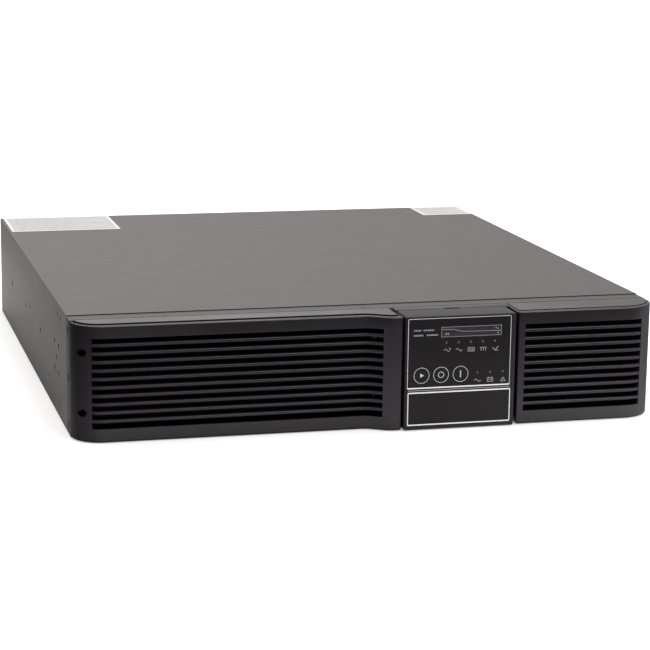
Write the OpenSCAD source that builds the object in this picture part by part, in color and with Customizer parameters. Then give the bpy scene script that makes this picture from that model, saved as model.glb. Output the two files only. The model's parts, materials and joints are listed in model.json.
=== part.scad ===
// Rack-depth uninterruptible power supply, two rack units high, with a front battery drawer.
// Frame: X to the right, Y to the back, Z up. The origin is under the middle of the unit,
// on the plane it rests on. Seen from the front, the battery drawer is on the left, the display
// module right of the middle, and the air intake at the right.

/* [Chassis] */
// width of the sheet-metal case
body_width = 440; // [430:1:446]
// height of the sheet-metal case
body_height = 86; // [84:0.5:88]
// depth of the sheet-metal case, without the front bezels
body_depth = 460; // [440:1:500]
// how far the display module reaches ahead of the case
front_reach = 33; // [30:0.5:36]
// how far the fan guard reaches behind the case
rear_reach = 4; // [4:0.5:6]
// sheet thickness
sheet = 1.2; // [1:0.1:1.5]
// depth of the front strip that wraps the case ahead of the cover
strip_depth = 16.6; // [15:0.1:20]

/* [Bezels] */
// depth of the flat front of the battery bezel
battery_bezel_depth = 21.8; // [18:0.1:24]
// depth of the inner end of the battery bezel
bezel_end_depth = 31; // [29:0.1:32]
// depth of the air-intake bezel
vent_depth = 30.8; // [28:0.1:32]
// corner radius of the air-intake bezel in plan
vent_corner = 26; // [20:0.5:30]
// bezel wall thickness
bezel_wall = 2.4; // [2:0.1:3]
// number of louvre slots
slot_count = 11; // [9:1:13]
// spacing of the louvre slots
slot_pitch = 6.15; // [6:0.05:6.5]
// height of one louvre slot
slot_height = 3.8; // [3:0.1:4.5]
// height of the lowest slot's centre line
first_slot_z = 12.55; // [12:0.05:14]

/* [Display module] */
// left edge of the display module
display_left = 20; // [19:0.5:22]
// width of the display module
display_width = 84.8; // [82:0.1:86]
// radius of the three round keys
key_radius = 6; // [5:0.1:7]
// spacing of the keys
key_pitch = 14.95; // [14:0.05:16]

/* [Battery drawer] */
// length of one battery block
battery_length = 151; // [150:0.5:152]
// thickness of one battery block, which stands as its height here
battery_thickness = 65; // [64:0.5:66]
// height of one battery block, which lies across the drawer
battery_height = 94; // [93:0.5:95]
// length of the drawer
tray_length = 338; // [330:1:345]

/* [Fan] */
// fan frame side
fan_width = 80; // [70:1:80]
// fan centre from the middle of the unit
fan_x = 168; // [160:1:175]

/* [Hidden] */
// main planes: front, rear, bay_end and face are Y values
half_width = body_width / 2;
mid_z = body_height / 2;
front = -(body_depth + front_reach + rear_reach) / 2 + front_reach;
rear = front + body_depth;
bay_end = front + 345; // front face of the wall behind the battery bay
face = front - front_reach; // front face of the display module
sides = [-1, 1]; // left and right

// case
wall_x = half_width - sheet - 0.2; // outer face of a chassis side wall, inside the cover
wall_top = 84.3;
// side holes: distance behind the front of the case, height, radius
side_holes = [
  [61, 32.95, 2.1], [83, 32.95, 2.1], [61, 53.45, 2.1], [83, 53.45, 2.1], [72, 43.2, 2.1],
  [169, 43.2, 2.1], [268, 43.2, 2.1], [367, 43.2, 2.1],
  [47.5, 77.3, 1.5], [64, 77.3, 1.5], [112, 20, 1.5],
  [233, 48.8, 1.2], [389, 31, 1.5], [414, 65, 1.2]];
strip_xs = [-150, 0, 150]; // strip screws on top
strip_top_y = front + 9.5;
strip_zs = [7, 42, 77]; // strip screws on each side
strip_side_y = front + 8;

// bezels
bezel_back = front - 0.1;
bezel_screw_x = -213.5;
bezel_screw_zs = [21.2, 65.2];
tab_width = 2.6; // snap tabs that enter the front frame
tab_height = 10;
tab_zs = [18.5, 58.5];
battery_tab_x = 12.4;
// tabs of the air-intake bezel: left edge, reach ahead of the case, left edge of the hook
vent_tabs = [[24.8, 8, 23.6], [108.8, 29.5, 107.6], [206.6, 24, 209]];

// Spots, here and below, are [centre x, centre z, width, height].
intake = [158.5, 43.5, 91, 67];

// display module
display_right = display_left + display_width;
display_mid = display_left + display_width / 2;
overlay = [61.35, 57.5, 79.5, 52.8];
badge = [61.975, 16.225, 79.75, 25.45];
key_z = 41.2;
key_xs = [for (i = [0:2]) 32.7 + i * key_pitch];
// indicator lamps: x, z
lamps = concat(
  [for (i = [0:4]) [51.3 + i * 9.33, 65]],
  [for (i = [0:2]) [75.8 + i * 9.8, 41.6]]);

// battery drawer
bay_x = -102; // centre line of the drawer
tray_half = 104;
tray_back = front + tray_length;
tray_screw_x = 6.5;
tray_screw_zs = [22, 64];
strap_x = -103;
battery_z = 2.6;
battery_gap_half = 7; // from the centre line to the blocks
battery_ys = [front + 6, front + 6 + battery_length + 4]; // front faces of the blocks
terminal_ys = [14, battery_length - 14]; // terminal tabs behind a block's front face
lead_radius = 1.3;
plug_z = 37;
plug_pin_offset = 7;

// power stage
core_x = -152;
core_half = 48;
core_front = bay_end + 23;
core_back = core_front + 48;
board_top = 12.8;
board_screw_xs = [22, 204];
board_screw_ys = [front + 60, rear - 74];
sink_xs = [40, 124]; // left faces of the heat sinks

// rear fittings; panel openings are larger all round by rear_gap
rear_gap = 0.2;
fan_corners = [for (x = [-35.75, 35.75], z = [-35.75, 35.75]) [fan_x + x, mid_z + z]];
outlet_spots = [for (x = [-38, -74, -116, -152], z = [24.5, 62]) [x, z, 25.6, 31.6]];
inlet = [0, 61.5, 26.8, 19.6];
// inlet pins: x, z, distance of the tip ahead of the panel's rear face
pins = [[-7, 58.4, 5.5], [7, 58.4, 5.5], [0, 64.4, 4.5]];
breaker_z = 22;
wide_port = [104, 15.5, 30.6, 11.6];
square_port = [104, 33, 12.6, 11.6];
jack_pair = [68, 18, 30.6, 15.6];
terminal = [33, 18, 16.6, 11.6];
pack_socket = [-192, 43, 32.6, 25.6];
card_slot = [69, 62, 80, 32];
card_screw_xs = [23.5, 114.5];

// shared colours
case_grey = [0.2, 0.19, 0.19];
bezel_black = [0.06, 0.06, 0.065];
overlay_black = [0.055, 0.05, 0.06];
key_black = [0.07, 0.065, 0.075];
part_black = [0.07, 0.07, 0.07];
board_green = [0.05, 0.25, 0.12];
bracket_grey = [0.55, 0.56, 0.57];
bare_metal = [0.62, 0.63, 0.64];
lead_red = [0.5, 0.06, 0.05];

// ---------- helpers ----------

// box and xcyl take their two X ends in either order, so a side factor can mirror them
module box(x0, x1, y0, y1, z0, z1)
  translate([min(x0, x1), y0, z0]) cube([abs(x1 - x0), y1 - y0, z1 - z0]);

// box on a spot, grown by gap on all four edges
module block(spot, y0, y1, gap = 0) {
  half_w = spot[2] / 2 + gap;
  half_h = spot[3] / 2 + gap;
  box(spot[0] - half_w, spot[0] + half_w, y0, y1, spot[1] - half_h, spot[1] + half_h);
}

module xcyl(y, z, x0, x1, radius, facets = 48)
  translate([min(x0, x1), y, z]) rotate([0, 90, 0])
    cylinder(h = abs(x1 - x0), r = radius, $fn = facets);

module ycyl(x, z, y0, y1, radius, facets = 48)
  translate([x, y1, z]) rotate([90, 0, 0]) cylinder(h = y1 - y0, r = radius, $fn = facets);

module zcyl(x, y, z0, z1, radius, facets = 48)
  translate([x, y, z0]) cylinder(h = z1 - z0, r = radius, $fn = facets);

// rounded corner of a lead
module bend(x, y, z, radius) translate([x, y, z]) sphere(r = radius, $fn = 24);

// ---------- case ----------

module side_bores(x0, x1)
  for (hole = side_holes, side = sides)
    xcyl(front + hole[0], hole[1], side * x0, side * x1, hole[2]);

module strip_side_bores(x0, x1, radius)
  for (z = strip_zs, side = sides) xcyl(strip_side_y, z, side * x0, side * x1, radius);

// top and both sides of the outer skin between two depths
module outer_skin(y0, y1) {
  box(-half_width, half_width, y0, y1, body_height - sheet, body_height);
  for (side = sides)
    box(side * half_width, side * (half_width - sheet), y0, y1, 1.4, body_height - 0.4);
}

module base_chassis() color(case_grey) difference() {
  union() {
    box(-half_width, half_width, front, rear, 0, sheet);
    for (side = sides)
      box(side * wall_x, side * (wall_x - sheet), front + 1.6, rear, 0.6, wall_top);
  }
  side_bores(210, 230);
  strip_side_bores(210, 230, 1.6);
  // floor slots
  for (i = [0:6]) box(30 + i * 12, 34 + i * 12, front + 70, front + 110, -1, 3);
}

module tab_window(x, z)
  box(x - 0.4, x + tab_width + 0.4, front - 1, front + 3, z - 0.5, z + tab_height + 0.5);

module front_frame() color(case_grey) difference() {
  union() {
    outer_skin(front, front + strip_depth);
    box(-half_width + 0.5, half_width - 0.5, front, front + sheet, 1.4, body_height - 0.5);
  }
  // drawer, air intake and display tail openings
  box(bay_x - 104.8, bay_x + 104.8, front - 1, front + 3, 0, 81.5);
  block(intake, front - 1, front + 3);
  ycyl(display_mid, mid_z, front - 1, front + 3, 15);
  for (z = bezel_screw_zs) ycyl(bezel_screw_x, z, front - 1, front + 3, 1.7);
  for (z = tray_screw_zs) ycyl(tray_screw_x, z, front - 1, front + 3, 1.6);
  for (z = tab_zs) {
    tab_window(battery_tab_x, z);
    for (tab = vent_tabs) tab_window(tab[0], z);
  }
  for (x = strip_xs) zcyl(x, strip_top_y, 80, 90, 3);
  strip_side_bores(218.7, 230, 3);
}

module top_cover() color(case_grey) difference() {
  union() {
    outer_skin(front + 16.8, rear);
    // stepped lip under the front strip
    box(-217, 217, front + 3, front + 22, 83.5, 84.7);
    box(-217, 217, front + 16.9, front + 22, 84.2, 85);
  }
  side_bores(218.7, 230);
  for (x = strip_xs) zcyl(x, strip_top_y, 80, 90, 1.6);
}

// two blank paper labels at the back corners of the cover
module top_labels() color([0.85, 0.85, 0.84]) {
  box(-217.5, -121, front + 384, rear - 1, body_height, body_height + 0.12);
  box(171.5, 219, front + 412.5, rear - 1, body_height, body_height + 0.12);
}

module strip_screws() color([0.25, 0.24, 0.24]) {
  for (x = strip_xs) union() {
    zcyl(x, strip_top_y, 84.7, 85.9, 2.9);
    zcyl(x, strip_top_y, 79, 84.8, 1.5);
  }
  for (z = strip_zs, side = sides) union() {
    xcyl(strip_side_y, z, side * 218.6, side * 219.9, 2.9);
    xcyl(strip_side_y, z, side * 213, side * 218.7, 1.5);
  }
}

module rear_panel() color([0.22, 0.21, 0.21]) difference() {
  cut_front = rear - 3;
  cut_back = rear + 1;
  box(-217.2, 217.2, rear - sheet, rear, 1.3, wall_top);
  ycyl(fan_x, mid_z, cut_front, cut_back, 37.5, 96);
  for (corner = fan_corners) ycyl(corner[0], corner[1], cut_front, cut_back, 2.2);
  for (spot = outlet_spots) block(spot, cut_front, cut_back, rear_gap);
  for (spot = [inlet, wide_port, square_port, jack_pair, terminal, pack_socket])
    block(spot, cut_front, cut_back, rear_gap);
  ycyl(0, breaker_z, cut_front, cut_back, 5.2);
  block(card_slot, cut_front, cut_back);
  for (x = card_screw_xs) ycyl(x, card_slot[1], cut_front, cut_back, 1.6);
}

// right wall and back wall of the battery bay, each with a foot on the floor
module bay_divider() color([0.6, 0.61, 0.62]) difference() {
  wall_left = 8.2;
  wall_right = 9.4;
  wall_back = bay_end + 1.2;
  union() {
    box(wall_left, wall_right, front + 1.5, wall_back, 1.2, 83.2);
    box(-217.1, wall_right, bay_end, wall_back, 1.2, 83.2);
    box(wall_left, 18, front + 20, wall_back, 1.2, 2.4);
    box(-217.1, wall_right, bay_end, bay_end + 12, 1.2, 2.4);
  }
  block([bay_x, plug_z, 38, 30], bay_end - 2, bay_end + 3);
  box(7, 11, bay_end - 36, bay_end - 16, 60, 76);
}

module tray_guides() color(bracket_grey) {
  // columns: left edge of the rail, left and right edges of its foot
  for (guide = [[-208.4, -217, -207.2], [3, 3, 8]]) union() {
    box(guide[0], guide[0] + 1.2, front + 6, bay_end - 6, 1.2, 10);
    box(guide[1], guide[2], front + 6, bay_end - 6, 1.2, 2.4);
  }
}

// ---------- front bezels ----------

// extrusion of a bezel plan, held off the bottom and top of the case by margin
module bezel_extrude(margin)
  translate([0, 0, margin]) linear_extrude(height = body_height - 2 * margin) children();

// point i of n on a cosine S-curve
function scurve(i, n, x0, x1, y0, y1) =
  [x0 + (x1 - x0) * i / n, y0 + (y1 - y0) * (1 - cos(180 * i / n)) / 2];

// Bezel plans: inset is taken from the outer face, overrun runs on past the back plane.
module battery_bezel_plan(inset, overrun) {
  right = 18.9 - inset;
  corner_x = -half_width + battery_bezel_depth;
  flat_y = bezel_back - battery_bezel_depth + inset;
  end_y = front - bezel_end_depth + inset;
  intersection() {
    translate([corner_x, bezel_back]) circle(r = battery_bezel_depth - inset, $fn = 96);
    translate([-half_width - 1, bezel_back - 40]) square([battery_bezel_depth + 1, 40]);
  }
  polygon(concat(
    [[corner_x, bezel_back], [corner_x, flat_y]],
    [for (i = [0:8]) scurve(i, 8, -8, 13, flat_y, end_y)],
    [[right, end_y], [right, bezel_back + overrun]],
    overrun > 0
      ? [[-half_width + inset, bezel_back + overrun], [-half_width + inset, bezel_back]]
      : []));
}

module vent_bezel_plan(inset, overrun) {
  left = 107.5 + inset;
  right = half_width - inset;
  flat_y = front - vent_depth + inset;
  corner_x = half_width - vent_corner;
  corner_y = front - vent_depth + vent_corner;
  intersection() {
    translate([corner_x, corner_y]) circle(r = vent_corner - inset, $fn = 96);
    translate([corner_x, corner_y - 40]) square([40, 40]);
  }
  polygon([
    [left, bezel_back + overrun], [left, flat_y], [corner_x, flat_y],
    [corner_x, corner_y], [right, corner_y], [right, bezel_back + overrun]]);
}

module louvre_slots(x0, x1, y1)
  for (i = [0:slot_count - 1]) {
    slot_z = first_slot_z + slot_pitch * i;
    box(x0, x1, front - 40, y1, slot_z - slot_height / 2, slot_z + slot_height / 2);
  }

module snap_tab(x, z, reach)
  box(x, x + tab_width, front - reach, front + 3.4, z, z + tab_height);

module battery_bezel() color(bezel_black) difference() {
  union() {
    difference() {
      bezel_extrude(0.2) battery_bezel_plan(0, 0);
      // the hollow, less the thick louvre field and the two screw bosses
      difference() {
        bezel_extrude(3) battery_bezel_plan(bezel_wall, 2);
        box(-211, -6, front - battery_bezel_depth - 1, front - 15.4, 8, 79);
        box(-6.5, 8.5, front - bezel_end_depth - 1, front - 18.4, 8, 79);
        for (z = bezel_screw_zs) ycyl(-213.2, z, front - 30, front + 3, 4);
      }
    }
    for (z = tab_zs) snap_tab(battery_tab_x, z, 29.5);
  }
  louvre_slots(-207.5, 4.8, front - 14);
  for (z = bezel_screw_zs) {
    ycyl(bezel_screw_x, z, front - 30, front - 4, 2.9);
    ycyl(bezel_screw_x, z, front - 30, front + 1, 1.7);
  }
}

module bezel_screws() color([0.3, 0.3, 0.31]) for (z = bezel_screw_zs) difference() {
  union() {
    ycyl(bezel_screw_x, z, front - 6.2, front - 4, 2.7);
    ycyl(bezel_screw_x, z, front - 4.1, front + 6, 1.45);
  }
  // cross recess
  block([bezel_screw_x, z, 2.8, 0.7], front - 7, front - 5.2);
  block([bezel_screw_x, z, 0.7, 2.8], front - 7, front - 5.2);
}

module vent_bezel() color(bezel_black) difference() {
  union() {
    difference() {
      bezel_extrude(0.2) vent_bezel_plan(0, 0);
      // the hollow, less the thick louvre field
      difference() {
        bezel_extrude(3) vent_bezel_plan(bezel_wall, 2);
        box(109, 209.4, front - vent_depth - 1, front - 22.4, 8, 79);
      }
    }
    // bay wall behind the display module
    difference() {
      box(19.2, 108, front - 9.3, bezel_back, 0.2, 85.8);
      box(21.8, 104, front - 6.6, front + 1, 2.8, 83.2);
    }
    ycyl(display_mid, mid_z, front - 8, front - 0.3, 14.4);
    for (z = tab_zs, tab = vent_tabs) {
      snap_tab(tab[0], z, tab[1]);
      box(tab[2], tab[2] + 1.4, front + 1.6, front + 3.4, z, z + tab_height);
    }
  }
  louvre_slots(112.8, 206.2, front - 21);
  ycyl(display_mid, mid_z, front - 20, front + 1, 12.06);
  // finger notch above the display module
  box(display_mid - 6, display_mid + 6, front - 12, front - 7.9, 84.4, 88);
}

module dust_screen() color([0.12, 0.12, 0.13]) difference() {
  block(intake, front - 4.4, front - 2.4, -0.4);
  for (i = [0:8], j = [0:5]) {
    x = 116.4 + i * 9.5;
    z = 13.4 + j * 10.3;
    box(x, x + 8, front - 6, front - 1, z, z + 8.8);
  }
}

// ---------- display module ----------

module display_housing() color([0.05, 0.05, 0.055]) difference() {
  union() {
    box(display_left, display_right, face + 1.2, front - 9.5, 0.3, 85.4);
    box(display_left + 0.8, display_right - 0.8, face, face + 2, 1.1, 84.7);
    ycyl(display_mid, mid_z, front - 9.8, front + 24, 12);
  }
  box(display_left + 2.6, display_right - 2.6, face + 6, front - 12, 3.2, 82.8);
  // seats for the overlay and the badge plate
  for (seat = [overlay, badge]) block(seat, face - 1, face + 1.4, 0.1);
  // openings behind the keys, meters and lamps
  for (x = key_xs) ycyl(x, key_z, face - 1, face + 8, 6.6);
  box(45.6, 95, face - 1, face + 8, 68, 78);
  box(48.5, 91.5, face - 1, face + 8, 62.6, 67.2);
  box(73, 98, face - 1, face + 8, 39.4, 43.8);
  ycyl(display_mid, mid_z, front - 30, front + 30, 10);
}

module display_overlay() color(overlay_black) difference() {
  block(overlay, face, face + 1.3);
  for (x = key_xs) ycyl(x, key_z, face - 1, face + 3, key_radius + 0.2);
  for (lamp = lamps) ycyl(lamp[0], lamp[1], face - 1, face + 3, 1.05);
  box(46.9, 93.6, face - 1, face + 3, 69.2, 76.9);
}

module badge_plate() color(overlay_black) block(badge, face, face + 1.3);

module indicator_lenses() color([0.35, 0.37, 0.36])
  for (lamp = lamps) ycyl(lamp[0], lamp[1], face + 0.1, face + 7, 1);

// two bars, one above the other, each notched into five segments
module level_meters() color([0.2, 0.2, 0.21])
  for (z = [69.3, 69.3 + 3.85]) difference() {
    box(47, 93.5, face + 0.1, face + 4, z, z + 3.65);
    for (i = [1:4]) box(46.6 + i * 9.3, 47.2 + i * 9.3, face - 1, face + 0.6, 69, 77);
  }

module display_board() color(board_green) difference() {
  union() {
    box(display_left + 4, display_right - 4, face + 8.4, face + 10, 5, 81);
    for (x = key_xs) block([x, key_z + 0, 6, 6], face + 5.1, face + 8.5);
    for (lamp = lamps) block([lamp[0], lamp[1], 2, 2], face + 7.3, face + 8.5);
    box(55, 70, face + 9.9, face + 11.2, 58, 70);
  }
  for (x = [27, 98], z = [8, 78]) ycyl(x, z, face + 7, face + 12, 1.5);
}

module key(x) union() {
  ycyl(x, key_z, face, face + 4, key_radius);
  ycyl(x, key_z, face + 2.4, face + 4.1, 2);
}

module test_key() color(key_black) key(key_xs[0]);

module off_key() color(key_black) key(key_xs[1]);

module on_key() color(key_black) key(key_xs[2]);

// flat cable that runs from the control board to the hollow tail of the display module
module display_cable() color([0.7, 0.7, 0.72]) union() {
  left = display_mid - 6;
  right = display_mid + 6;
  box(left, right, front + 26, front + 27, 36, 80);
  box(left, right, front + 26, front + 46, 79, 80);
  box(left, right, front + 45, front + 46, 66, 80);
  box(left - 1.5, right + 1.5, front + 25, front + 31, 34, 40);
}

// ---------- battery drawer ----------

module battery_tray() color([0.5, 0.51, 0.52]) difference() {
  left = bay_x - tray_half;
  right = bay_x + tray_half;
  union() {
    box(left, right, front + 0.3, tray_back, 1.3, 2.5);
    for (side = sides)
      box(bay_x + side * tray_half, bay_x + side * (tray_half - 1.2),
        front + 0.3, tray_back, 1.3, 42);
    box(left, right, tray_back - 1.2, tray_back, 1.3, 60);
    box(left, right, front + 0.3, front + 1.5, 1.3, 80.5);
    box(left, right, front - 1.2, front + 1.5, 3.6, 80.5);
    box(-209, 9.6, front - 1.4, front - 0.2, 3.6, 82.4);
  }
  block([bay_x, plug_z, 35.2, 21.2], tray_back - 3, tray_back + 2);
  // row of slots along the top of the front wall
  for (i = [0:7]) box(-196 + i * 25, -178 + i * 25, front - 4, front + 4, 70, 75);
  // slots for the pull strap
  for (side = sides) block([strap_x + side * 38, 42, 4, 32], front - 4, front + 4);
  for (z = tray_screw_zs) ycyl(tray_screw_x, z, front - 3, front + 3, 1.7);
}

// four blocks, each with a shallow recess in the face towards the centre line
module battery_blocks() color([0.09, 0.09, 0.1])
  for (y = battery_ys, side = sides) difference() {
    inner = battery_gap_half;
    battery_top = battery_z + battery_thickness;
    box(bay_x + side * inner, bay_x + side * (inner + battery_height),
      y, y + battery_length, battery_z, battery_top);
    box(bay_x + side * (inner - 1), bay_x + side * (inner + 1),
      y + 4, y + battery_length - 4, battery_z + 4, battery_top - 4);
  }

module battery_tabs() color([0.8, 0.8, 0.78])
  for (y = battery_ys, end = terminal_ys, side = sides)
    box(bay_x + side * 1.2, bay_x + side * 8, y + end - 0.4, y + end + 0.4, 12, 18.35);

function lead_x(side) = bay_x + side * 3.6;

// boot over a terminal tab, and its lead up to a bend at height z
module lead_riser(x, y, z) {
  difference() {
    box(x - 3, x + 3, y - 1.4, y + 1.4, 10.8, 21);
    box(x - 4, x + 4, y - 0.5, y + 0.5, 11.8, 18.5);
  }
  zcyl(x, y, 19.5, z, lead_radius, 24);
  bend(x, y, z, lead_radius);
}

// insulated jumper leads between the battery tabs, and the two leads to the drawer plug
module battery_links() color(lead_red) {
  first_y = battery_ys[0] + terminal_ys[0];
  joint_ys = [battery_ys[0] + terminal_ys[1], battery_ys[1] + terminal_ys[0]];
  last_y = battery_ys[1] + terminal_ys[1];
  // front pair, across the gap
  union() {
    for (side = sides) lead_riser(lead_x(side), first_y, 64);
    xcyl(first_y, 64, lead_x(-1), lead_x(1), lead_radius, 24);
  }
  // front block to rear block in each column: side, height of the lead
  for (link = [[-1, 56], [1, 48]]) union() {
    for (y = joint_ys) lead_riser(lead_x(link[0]), y, link[1]);
    ycyl(lead_x(link[0]), link[1], joint_ys[0], joint_ys[1], lead_radius, 24);
  }
  // left and right leads to the plug
  for (side = sides) union() {
    lead_riser(lead_x(side), last_y, plug_z);
    ycyl(lead_x(side), plug_z, last_y, tray_back - 10.2, lead_radius, 24);
  }
}

// two straps over the blocks, bent down on both sides
module battery_clamps() color(bracket_grey) for (y = [front + 72, front + 226]) union() {
  box(bay_x - 102.6, bay_x + 102.6, y, y + 20, 67.7, 68.9);
  for (side = sides) box(bay_x + side * 102.6, bay_x + side * 101.4, y, y + 20, 22, 68.9);
}

module pull_strap() color([0.12, 0.12, 0.12]) union() {
  half = 38.6;
  box(strap_x - half, strap_x + half, front - 7.6, front - 6.4, 30, 54);
  for (side = sides) {
    outer = strap_x + side * half;
    box(outer, outer - side * 1.2, front - 7.6, front + 3.6, 30, 54);
    box(outer, outer - side * 10.6, front + 2.4, front + 3.6, 30, 54);
  }
}

module tray_screws() color([0.7, 0.7, 0.7]) for (z = tray_screw_zs) difference() {
  union() {
    ycyl(tray_screw_x, z, front - 5.4, front - 1.4, 3.8);
    ycyl(tray_screw_x, z, front - 1.5, front + 4, 1.45);
  }
  block([tray_screw_x, z, 6, 0.8], front - 6, front - 4.6);
}

module plug_pins(y0, y1, radius)
  for (side = sides) ycyl(bay_x + side * plug_pin_offset, plug_z, y0, y1, radius);

module drawer_plug() color([0.45, 0.05, 0.04]) union() {
  block([bay_x, plug_z, 43.8, 23.8], tray_back - 3.2, tray_back - 1.3);
  block([bay_x, plug_z, 34, 20], tray_back - 10, tray_back + 4);
  plug_pins(tray_back + 3, tray_back + 14, 3);
}

module bay_socket() color([0.08, 0.08, 0.09]) difference() {
  union() {
    block([bay_x, plug_z, 37.6, 26], tray_back + 4.3, tray_back + 24);
    block([bay_x, plug_z, 48, 38], bay_end + 1.2, bay_end + 3.6);
  }
  plug_pins(tray_back + 3, tray_back + 18, 3.4);
}

// ---------- power stage ----------

module transformer_core() color([0.28, 0.27, 0.27]) difference() {
  box(core_x - core_half, core_x + core_half, core_front, core_back, 3.6, 78.6);
  for (side = sides)
    box(core_x + side * 8, core_x + side * 32, core_front - 8, core_back + 4, 17, 65);
}

module transformer_coil() color([0.6, 0.45, 0.15]) difference() {
  box(core_x - 30.5, core_x + 30.5, core_front - 12, core_back + 12, 18, 64);
  box(core_x - 8.2, core_x + 8.2, core_front - 0.2, core_back + 0.2, 10, 70);
}

module transformer_brackets() color(bare_metal) for (side = sides) difference() {
  inner = core_x + side * core_half;
  union() {
    box(inner, inner + side * 14, core_front, core_back, 1.2, 3.4);
    box(inner, inner + side * 2.2, core_front, core_back, 1.2, 60);
  }
  for (y = [core_front + 10, core_back - 10]) zcyl(inner + side * 9, y, 0, 6, 2.2);
}

module main_board() color(board_green) difference() {
  box(14, 212, front + 50, rear - 62, 11.2, board_top);
  for (x = board_screw_xs, y = board_screw_ys) zcyl(x, y, 10, 14, 2);
}

module board_standoffs() color([0.75, 0.65, 0.35])
  for (x = board_screw_xs, y = board_screw_ys) union() {
    zcyl(x, y, 1.2, 11.2, 3.5, 6);
    zcyl(x, y, 11, 15.4, 1.9);
  }

module heat_sinks() color(bare_metal) for (x = sink_xs) union() {
  box(x, x + 3.5, front + 110, front + 270, board_top, 72);
  for (i = [0:8])
    box(x + 3, x + 22, front + 110 + i * 19.6, front + 113 + i * 19.6, 14, 72);
}

// on the left faces of the heat sinks, three legs each
module power_transistors() color(part_black) for (x = sink_xs, i = [0:5]) union() {
  mid_y = front + 128 + i * 25;
  box(x - 5.2, x - 0.1, mid_y - 8, mid_y + 8, 24, 45);
  for (leg = [-5, 0, 5])
    box(x - 3.4, x - 2.4, mid_y + leg - 0.6, mid_y + leg + 0.6, board_top, 24.5);
}

module bulk_capacitors() color([0.08, 0.09, 0.2]) {
  for (i = [0:3]) zcyl(84, front + 126 + i * 36, board_top, 57, 15);
  for (i = [0:2]) zcyl(190, front + 130 + i * 34, board_top, 52, 14);
}

module relays() color([0.1, 0.1, 0.45])
  for (i = [0:4]) box(28 + i * 34, 56 + i * 34, rear - 88, rear - 74, board_top, 38);

module choke() color([0.55, 0.3, 0.12]) union() {
  translate([100, front + 84, 36]) rotate([90, 0, 0])
    rotate_extrude($fn = 48) translate([15, 0]) circle(r = 8, $fn = 32);
  box(82, 118, front + 80, front + 88, board_top, 16);
}

module fuses() color([0.85, 0.83, 0.76]) for (i = [0:2]) union() {
  left = 138 + i * 24;
  xcyl(front + 66, 19, left + 2, left + 18, 3, 24);
  for (x = [left, left + 17]) box(x, x + 3, front + 62.4, front + 69.6, board_top, 22.6);
}

// upright board; its front carries the cable connector and two small parts
module control_board() color([0.05, 0.22, 0.3]) union() {
  box(40, 100, front + 52, front + 53.6, board_top, 64);
  box(display_mid - 7.5, display_mid + 7.5, front + 44.4, front + 52.1, 60, 65.9);
  box(74, 86, front + 49.8, front + 52.1, 34, 46);
  box(46, 56, front + 49.8, front + 52.1, 24, 34);
}

// leads from the bay socket over to the power board
module bay_wires() color(lead_red) for (side = sides) union() {
  radius = 2.2;
  start_x = bay_x + side * plug_pin_offset;
  end_x = 30 + side * plug_pin_offset;
  y = bay_end + 19.6;
  high_z = 80.4;
  ycyl(start_x, plug_z, tray_back + 24, y, radius, 24);
  bend(start_x, y, plug_z, radius);
  zcyl(start_x, y, plug_z, high_z, radius, 24);
  bend(start_x, y, high_z, radius);
  xcyl(y, high_z, start_x, end_x, radius, 24);
  bend(end_x, y, high_z, radius);
  zcyl(end_x, y, board_top, high_z, radius, 24);
}

// ---------- rear ----------

module fan_frame() color(part_black) difference() {
  union() {
    difference() {
      block([fan_x, mid_z, fan_width, fan_width], rear - 26.4, rear - 1.4);
      ycyl(fan_x, mid_z, rear - 30, rear, 37.6, 96);
    }
    // hub and its three arms
    ycyl(fan_x, mid_z, rear - 26.4, rear - 22.4, 17.5);
    for (angle = [30, 150, 270])
      translate([fan_x, rear - 26.4, mid_z]) rotate([0, angle, 0]) cube([38.6, 3, 3]);
  }
  ycyl(fan_x, mid_z, rear - 27, rear - 20, 2.05);
  for (corner = fan_corners) ycyl(corner[0], corner[1], rear - 30, rear, 2.1);
}

module fan_rotor() color([0.09, 0.09, 0.09]) union() {
  blades = 7;
  ycyl(fan_x, mid_z, rear - 21.6, rear - 3.4, 18);
  ycyl(fan_x, mid_z, rear - 26, rear - 21, 2);
  for (i = [0:blades - 1])
    translate([fan_x, rear - 12.5, mid_z]) rotate([0, i * 360 / blades, 0])
      rotate([38, 0, 0]) translate([16.5, -0.8, -9.5]) cube([19.5, 1.6, 19]);
}

// wire rings, two crossed bars and four screw eyes
module fan_guard() color([0.7, 0.7, 0.72]) union() {
  for (ring = [8, 16, 24, 32, 38])
    translate([fan_x, rear + 2.9, mid_z]) rotate([90, 0, 0])
      rotate_extrude($fn = 64) translate([ring, 0]) circle(r = 1.1, $fn = 16);
  for (angle = [45, 135])
    translate([fan_x, rear + 0.4, mid_z]) rotate([0, angle, 0])
      translate([-46.6, 0, -1]) cube([93.2, 2, 2]);
  for (corner = fan_corners) difference() {
    ycyl(corner[0], corner[1], rear + 0.1, rear + 1.6, 4.6);
    ycyl(corner[0], corner[1], rear - 1, rear + 3, 2.2);
  }
}

module fan_screws() color([0.75, 0.75, 0.75]) for (corner = fan_corners) union() {
  ycyl(corner[0], corner[1], rear + 1.6, rear + 3.6, 3.6);
  ycyl(corner[0], corner[1], rear - 10, rear + 1.7, 1.9);
}

module inlet_body() color([0.06, 0.06, 0.06]) difference() {
  union() {
    block([inlet[0], inlet[1], 31, 24], rear + 0.1, rear + 2.6);
    block(inlet, rear - 20, rear + 0.2);
  }
  block([inlet[0], inlet[1], 24.2, 16.6], rear - 17, rear + 4);
  for (pin = pins) block([pin[0], pin[1], 4, 2], rear - 22, rear - 15, 0.05);
}

module inlet_pins() color([0.8, 0.72, 0.45])
  for (pin = pins) block([pin[0], pin[1], 4, 2], rear - 26, rear - pin[2]);

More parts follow.
